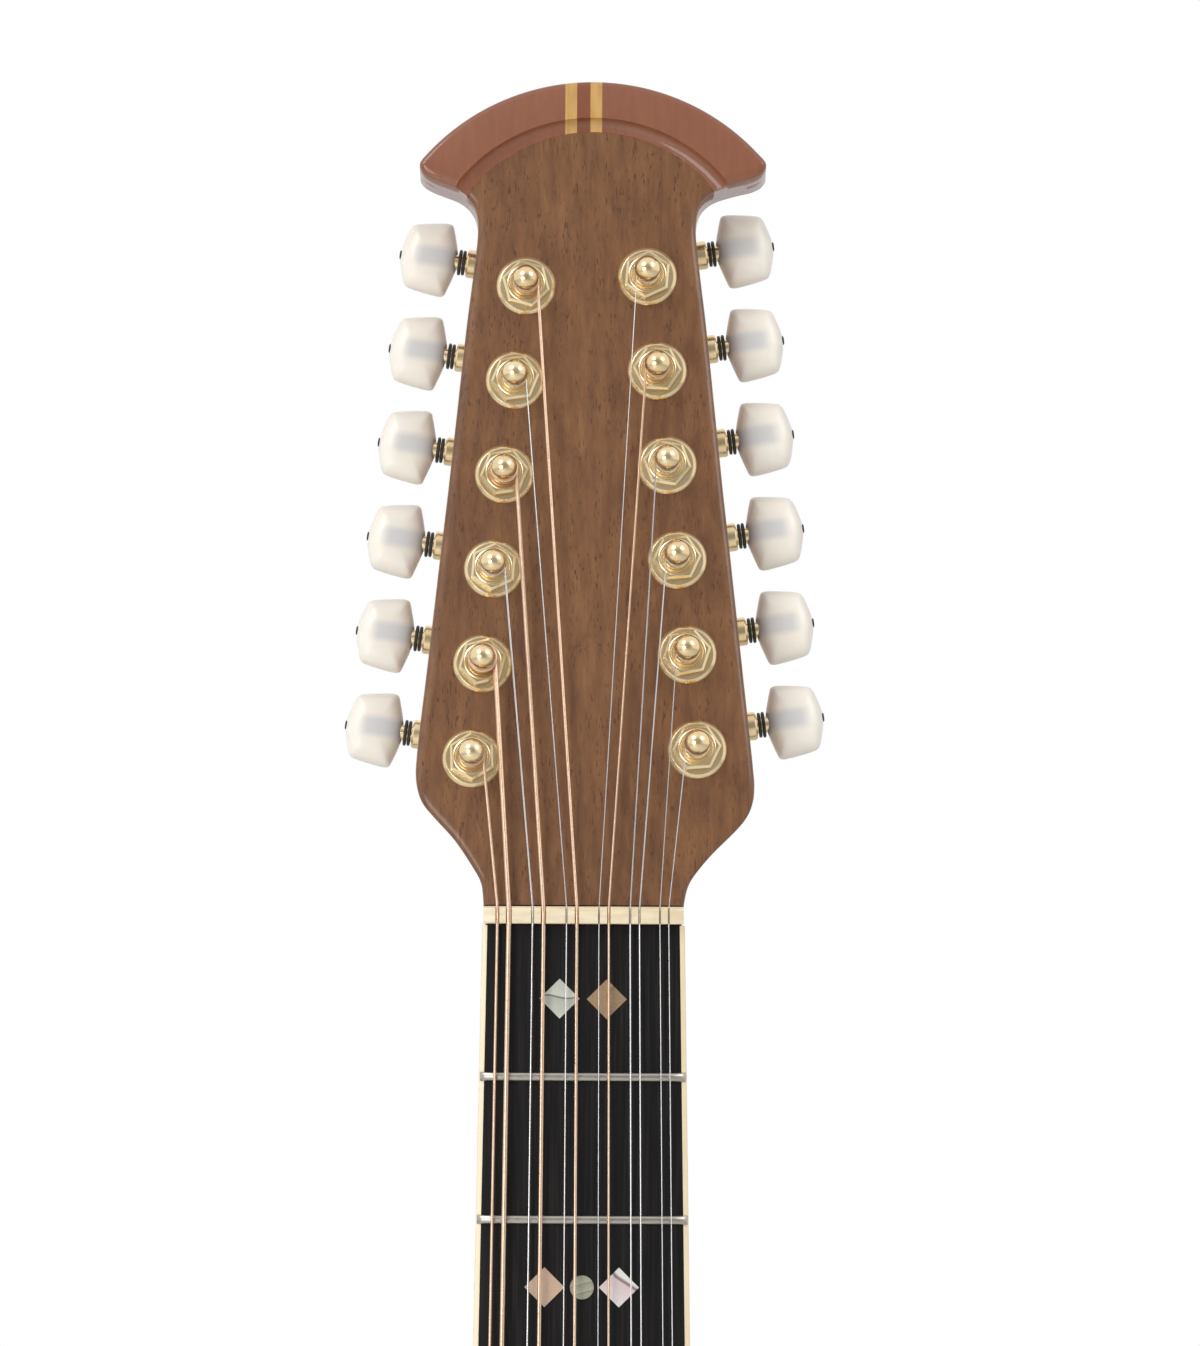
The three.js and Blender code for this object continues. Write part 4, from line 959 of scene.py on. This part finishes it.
# half of the button's outline, from its neck at the shaft to the middle of its end
BUTTON_OUTLINE = [
    (0.1, 0.0), (0.12, 2.0), (0.7, 4.4), (1.7, 7.6), (2.2, 8.65), (3.1, 8.98), (4.6, 8.9),
    (8.0, 8.4), (10.8, 7.8), (11.8, 7.2), (12.4, 6.1), (13.1, 3.8), (13.6, 1.7), (13.7, 0.0),
]


def button_shape():
    """The button, in rings from its front middle round its edge to its back, flat but rounded."""
    half = through(BUTTON_OUTLINE, 3)
    outline = [(u, -v) for u, v in half] + [(u, v) for u, v in reversed(half[1:-1])]
    middle = 0.52 * BUTTON_LENGTH
    shares = [0.04, 0.25, 0.45, 0.62, 0.76, 0.86, 0.93, 0.97, 0.99]
    front = [(share, BUTTON_THICK * (1 - share**3.4) ** 0.5) for share in shares]
    rings = []
    for share, thick in front + [(1.0, 0.0)] + [(share, -thick) for share, thick in reversed(front)]:
        flat = [(BUTTON_START + middle + (u - middle) * share, WORM_OFFSET + v * share) for u, v in outline]
        rings.append([(u, v, thick - GEAR_DEPTH) for u, v in flat])
    return loft(rings)


def map_button(thing, place_back):
    """Writes each corner's place along and across the button as its texture coordinate."""
    layer = thing.data.uv_layers.new(name="button")
    for corner in thing.data.loops:
        u, v, _ = place_back @ thing.data.vertices[corner.vertex_index].co
        layer.data[corner.index].uv = ((u - BUTTON_START) / BUTTON_LENGTH, (v - WORM_OFFSET) / BUTTON_HALF)


bronze = Finish("phosphor_bronze_winding")
wound = bronze.noise(bronze.scaled(bronze.place(), 200, 200, 5200), detail=1)
bronze_finish = bronze.coat(
    Base_Color=bronze.blend(wound, (0.66, 0.44, 0.3), (0.84, 0.64, 0.48)),
    Metallic=0.9,
    Roughness=0.32,
    Normal=bronze.bump(wound, 0.00006, 0.8),
)
steel = Finish("plain_steel_string")
brushed = steel.noise(steel.scaled(steel.place(), 900, 900, 60), detail=2)
steel_finish = steel.coat(
    Base_Color=steel.blend(brushed, (0.6, 0.6, 0.6), (0.75, 0.75, 0.74)), Metallic=0.95, Roughness=0.25
)
WOUND = {0, 1, 3, 5, 7}

machines = []
for side in ("bass", "treble"):
    for step in range(6):
        name = f"tuner_{side}_{step + 1}"
        post, key = joints[f"{name}_post_turn"], joints[f"{name}_key_turn"]
        out_of_face = Vector(post["axis"])
        outward = Vector(key["axis"])
        up = out_of_face.cross(outward)
        if up.z < 0:
            up = -up
        place = Matrix.Identity(4)
        for column, direction in enumerate((outward, up, out_of_face)):
            for row in range(3):
                place[row][column] = direction[row] * MM
        place.translation = Vector(post["pos_m"])
        index = step if side == "bass" else 11 - step
        machines.append((name, place, index, side))

button_mesh = button_shape()
hexagon_mesh = loft(hex_nut())
for name, place, index, side in machines:
    fixed = {"node": f"{name}_housing", "slot": "gold_plate"}
    piece(f"{name}_washer", *turned(washer_profile, 56, True), gold_finish, place, crease=20, **fixed)
    spin = Matrix.Rotation(math.radians(random.Random(index).uniform(0, 60)), 4, "Z")
    piece(f"{name}_hex_nut", *hexagon_mesh, gold_finish, place @ spin, crease=22, **fixed)
    piece(f"{name}_sleeve", *turned(ring_profile, 44, True), gold_finish, place, crease=40, **fixed)
    piece(f"{name}_casing", *loft(casing_rings()), gold_finish, place, crease=40, **fixed)
    piece(f"{name}_shaft_bearing", *turned_on_shaft(bearing_profile, 32), gold_finish, place, **fixed)

    post_body, wound_on = f"{name}_post_body", index in WOUND
    piece(f"{name}_post_gold", *turned(post_profile(), 36), gold_finish, place, node=f"{name}_post",
          body=post_body, slot="gold_plate", crease=40)
    piece(f"{name}_string_turns", *wraps(GAUGES[index]), bronze_finish if wound_on else steel_finish, place,
          body=post_body, slot="bronze_wound" if wound_on else "steel")

    turning = {"node": f"{name}_key", "body": f"{name}_key_body"}
    button = piece(
        f"{name}_button", *button_mesh, button_finish, place, slot="pearloid", crease=60, **turning
    )
    map_button(button, place.inverted())
    shaft = turned_on_shaft(shaft_profile, 24)
    piece(f"{name}_shaft", *shaft, gold_finish, place, slot="gold_plate", **turning)
    discs = []
    for start, radius in ((STUB_END + 0.35, 3.0), (STUB_END + 1.3, 3.1)):
        low = radius - 0.25
        profile = [(low, start), (radius, start + 0.15), (radius, start + 0.6), (low, start + 0.75)]
        discs.append(turned_on_shaft(profile, 28))
    loose = {"body": f"{name}_key_body", "slot": "gold_plate"}
    piece(f"{name}_dark_washers", *merged(*discs), dark_finish, place, **loose)
    piece(f"{name}_button_screw", *turned_on_shaft(screw_profile, 20), dark_finish, place, **loose)

# ---------------------------------------------------------------------------------------------
# Strings: six pairs, from the bridge over saddle and nut to the posts. The heavy ones are steel
# wound with phosphor bronze, the rest plain steel.

SADDLE_SPREAD = 1.415
bridge_back, saddle_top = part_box("bridge")[0].z / MM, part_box("saddle")[0].y / MM
ANCHOR_Y = 1.5
SADDLE_Z = -SCALE_LENGTH
TOP_FACE = BOARD_THICKNESS + SEAT


def tube(path, radius):
    """A round wire along a path of points."""
    rings = []
    for k, point in enumerate(path):
        along = (path[min(k + 1, len(path) - 1)] - path[max(k - 1, 0)]).normalized()
        side = ALONG_Y.cross(along).normalized()
        rings.append(hoop(point, side, along.cross(side), radius, 12))
    return loft(rings)


def eased(path, reach):
    """The path with each inner corner rounded by a short curve."""
    out = [path[0]]
    for before, corner, after in zip(path, path[1:], path[2:]):
        back = (before - corner).normalized() * min(reach, (before - corner).length * 0.45)
        forth = (after - corner).normalized() * min(reach, (after - corner).length * 0.45)
        for k in range(5):
            t = k / 4
            out.append(
                (corner + back) * (1 - t) ** 2 + corner * 2 * t * (1 - t) + (corner + forth) * t**2
            )
    out.append(path[-1])
    return out


for name, place, index, side in machines:
    gauge = GAUGES[index]
    radius = gauge / 2
    x = string_x(index)
    over_nut = crown(x) - SLOT_FLOOR - radius
    saddle_x = x * SADDLE_SPREAD
    local = on_head.inverted() @ place.translation
    centre = Vector((local.x, local.z))
    to_nut = Vector((x, 0)) - centre
    reach = 2.35 + radius
    swing = math.acos(reach / to_nut.length) * (1 if side == "bass" else -1)
    touch = centre + Matrix.Rotation(swing, 2) @ to_nut.normalized() * reach
    path = [
        Vector((saddle_x, ANCHOR_Y, bridge_back + 1)),
        Vector((saddle_x, ANCHOR_Y, SADDLE_Z - 8.6)),
        Vector((saddle_x, saddle_top + saddle_x**2 / (2 * CROWN_RADIUS) - radius, SADDLE_Z)),
        Vector((x, over_nut, 0.5)),
        Vector((x, over_nut, 4.3)),
        on_head @ Vector((touch.x, -(5.0 + radius), touch.y)) / MM,
    ]
    wound_string = index in WOUND
    piece(
        f"string_{index + 1:02d}_wire", *tube(eased(path, 0.8), radius),
        bronze_finish if wound_string else steel_finish, node=f"string_{index + 1:02d}_{PITCHES[index]}",
        slot="bronze_wound" if wound_string else "steel",
    )

# ---------------------------------------------------------------------------------------------
# Body: a moulded composite bowl with a spruce soundboard glued on its rim, bound in cream, with
# rings of wood and shell inlaid round the soundhole.

BODY_LENGTH, BODY_DEPTH = 486.0, 140.0
TOP_THICKNESS, RIM = 2.8, TOP_FACE + 2.8 + SEAT
HOLE_RADIUS = 50.0
hole_z = BOARD_END - 59
JOINT_Z = fret_z(14)
TAIL_Z = JOINT_Z - BODY_LENGTH
BODY_HALF = [
    (0, 0), (52, 0.004), (98, 0.036), (132, 0.11), (146, 0.215), (135, 0.33), (119, 0.435),
    (136, 0.535), (174, 0.63), (200, 0.745), (186, 0.875), (138, 0.956), (72, 0.992), (0, 1.0),
]


def body_outline(outwards=0.0):
    half = [(x, JOINT_Z - share * BODY_LENGTH) for x, share in BODY_HALF]
    loop = half + [(-x, z) for x, z in reversed(half[1:-1])]
    count = len(loop)
    points = []
    for k in range(count):
        four = [loop[(k + j) % count] for j in (-1, 0, 1, 2)]
        points += through(four, 6)[6:12]
    return inset(list(reversed(points)), 0.1 - outwards)


spruce = Finish("spruce_soundboard")
year_rings = spruce.noise(grain(spruce, 1.6, 520), detail=4, distortion=0.2)
silk = spruce.noise(grain(spruce, 60, 300), detail=3)
spruce_wood = spruce.coat(
    Base_Color=spruce.blend(
        (silk * 0.35).clamped(),
        spruce.ramp(
            year_rings, (0.35, (0.62, 0.37, 0.15)), (0.52, (0.7, 0.45, 0.2)), (0.66, (0.5, 0.26, 0.09))
        ),
        (0.76, 0.53, 0.27),
    ),
    Roughness=0.35 + 0.1 * silk,
    Coat_Weight=0.6,
    Coat_Roughness=0.05,
)


def round_hole(radius, y):
    """A ring about the soundhole's middle."""
    return hoop(Vector((0, y, hole_z)), ALONG_Z, ALONG_X, radius, 120)


BODY_BINDING = 2.2
outer_edge, inner_edge = body_outline(), inset(body_outline(), BODY_BINDING)
top_rings = rounded_slab(inner_edge, TOP_FACE, TOP_FACE + TOP_THICKNESS, 0.2, 0.2, 2)
top_blank = blank("top_blank", *loft(top_rings))
hole = loft([round_hole(HOLE_RADIUS, y) for y in (TOP_FACE - 5, TOP_FACE + 8)])
cut_with(top_blank, blank("hole", *hole), "DIFFERENCE")
carved(top_blank, "soundboard_spruce", spruce_wood, node="soundboard", slot="spruce")


def banding(name, rings, finish, slot):
    """A closed strip let into the soundboard."""
    piece(name, *loft(rings, closed=True, capped=False), finish, node="soundboard", slot=slot)


binding_rings = [
    at_depth(inner_edge, TOP_FACE), at_depth(inset(outer_edge, 0.6), TOP_FACE),
    at_depth(outer_edge, TOP_FACE + 0.6), at_depth(outer_edge, RIM), at_depth(inner_edge, RIM),
]
banding("body_binding", binding_rings, binding_finish, "bone")

purfling = Finish("dark_purfling")
purfling_finish = purfling.coat(
    Base_Color=purfling.blend(
        purfling.noise(purfling.place(), scale=500), (0.02, 0.012, 0.01), (0.05, 0.03, 0.02)
    ),
    Roughness=0.35,
)
line_inner, proud, sunk = inset(body_outline(), BODY_BINDING + 0.9), TOP_FACE - 0.04, TOP_FACE + 0.5
line_rings = [at_depth(line_inner, proud), at_depth(inner_edge, proud)]
line_rings += [at_depth(inner_edge, sunk), at_depth(line_inner, sunk)]
banding("body_purfling", line_rings, purfling_finish, "ebony")
for label, inner, outer, finish in (
    ("inner_line", 52.5, 53.4, purfling_finish), ("shell_ring", 53.4, 58.0, bright_shell),
    ("outer_line", 58.0, 58.9, purfling_finish), ("fine_line", 62.0, 62.8, purfling_finish),
):
    corners = ((inner, proud), (outer, proud), (outer, TOP_FACE + 0.6), (inner, TOP_FACE + 0.6))
    banding(f"rosette_{label}", [round_hole(radius, y) for radius, y in corners], finish, "bone")

BOWL_SQUARE, BOWL_WALL, NECK_SHARE = 3.2, 3.0, 0.72
bowl_middle = JOINT_Z - 0.56 * BODY_LENGTH
composite = Finish("moulded_composite")
pebble = composite.noise(composite.place(), scale=900, detail=2)
mould = composite.noise(composite.place(), scale=14, detail=2)
bowl_finish = composite.coat(
    Base_Color=composite.blend(mould, (0.012, 0.012, 0.013), (0.022, 0.021, 0.021)),
    Roughness=0.5 + 0.12 * pebble,
    Normal=composite.bump(pebble, 0.00035, 0.55),
)


def bowl_ring(angle, outwards):
    scale = math.cos(angle) ** (2 / BOWL_SQUARE)
    ring = []
    for x, z in body_outline(outwards):
        along = bowl_middle + (z - bowl_middle) * scale
        depth = BODY_DEPTH * (1 + (NECK_SHARE - 1) * (along - TAIL_Z) / BODY_LENGTH) + outwards
        ring.append((x * scale, RIM + depth * math.sin(angle) ** (2 / BOWL_SQUARE), along))
    return ring


steps = [0, 3, 8, 14, 21, 28, 36, 44, 52, 60, 68, 75, 81, 86, 88.8]
outside = [bowl_ring(math.radians(a), 0.0) for a in steps]
inside = [bowl_ring(math.radians(a), -BOWL_WALL) for a in reversed(steps)]
points, faces = loft(outside + inside, capped=False)
count = len(outside[0])
half_way = len(steps) * count
faces = [face for face in faces if not (min(face) < half_way <= max(face))]
faces.append(tuple(range(half_way - count, half_way)))
faces.append(tuple(reversed(range(half_way, half_way + count))))
for k in range(count):
    n = (k + 1) % count
    last = len(points) - count
    faces.append((k, last + k, last + n, n))
piece("bowl_shell", points, faces, bowl_finish, node="bowl", slot="composite", crease=50)


def repaint(node, finish):
    """Gives a carried-over piece its finish."""
    mesh = frame["nodes"][node].data
    mesh.materials.clear()
    mesh.materials.append(finish)


raw = Finish("bare_spruce")
raw_grain = raw.noise(grain(raw, 4, 600), detail=4)
raw_tone = raw.ramp(raw_grain, (0.3, (0.55, 0.4, 0.22)), (0.7, (0.68, 0.52, 0.32)))
repaint("bracing", raw.coat(Base_Color=raw_tone, Roughness=0.75))
repaint("bridge", veneer_wood)
repaint("saddle", bone_finish)
rod = Finish("rod_steel")
rod_finish = rod.coat(
    Base_Color=rod.blend(rod.noise(rod.place(), scale=700), (0.42, 0.42, 0.42), (0.55, 0.55, 0.54)),
    Metallic=1.0,
    Roughness=0.4,
)
repaint("truss_rod", rod_finish)

# ---------------------------------------------------------------------------------------------
# Strap buttons: turned, gold-plated, screwed to the tail and to the heel.

for label in ("tail", "heel"):
    low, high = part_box(f"strap_button_{label}")
    if label == "tail":
        base = Vector(((low.x + high.x) / 2, (low.y + high.y) / 2, high.z))
        turn = Matrix.Rotation(math.radians(180), 4, "X")
        height = (high.z - low.z) / MM
    else:
        base = Vector(((low.x + high.x) / 2, low.y, (low.z + high.z) / 2))
        turn = Matrix.Rotation(math.radians(-90), 4, "X")
        height = (high.y - low.y) / MM
    neck = height - 12
    profile = [
        (0.2, 0), (5.6, 0), (5.5, neck + 0.6), (4.6, neck + 2.0), (3.3, neck + 4.0), (3.1, height - 5.2),
        (3.3, height - 4.2), (5.6, height - 3.2), (6.8, height - 2.2), (6.98, height - 1.5),
        (6.7, height - 0.5), (5.9, height - 0.05), (2.4, height - 0.2), (2.2, height - 0.9),
        (0.2, height - 1.0),
    ]
    piece(
        f"strap_button_{label}_gold", *turned(profile, 40), gold_finish,
        Matrix.Translation(base) @ turn @ Matrix.Scale(MM, 4), node=f"strap_button_{label}",
        slot="gold_plate", crease=50,
    )
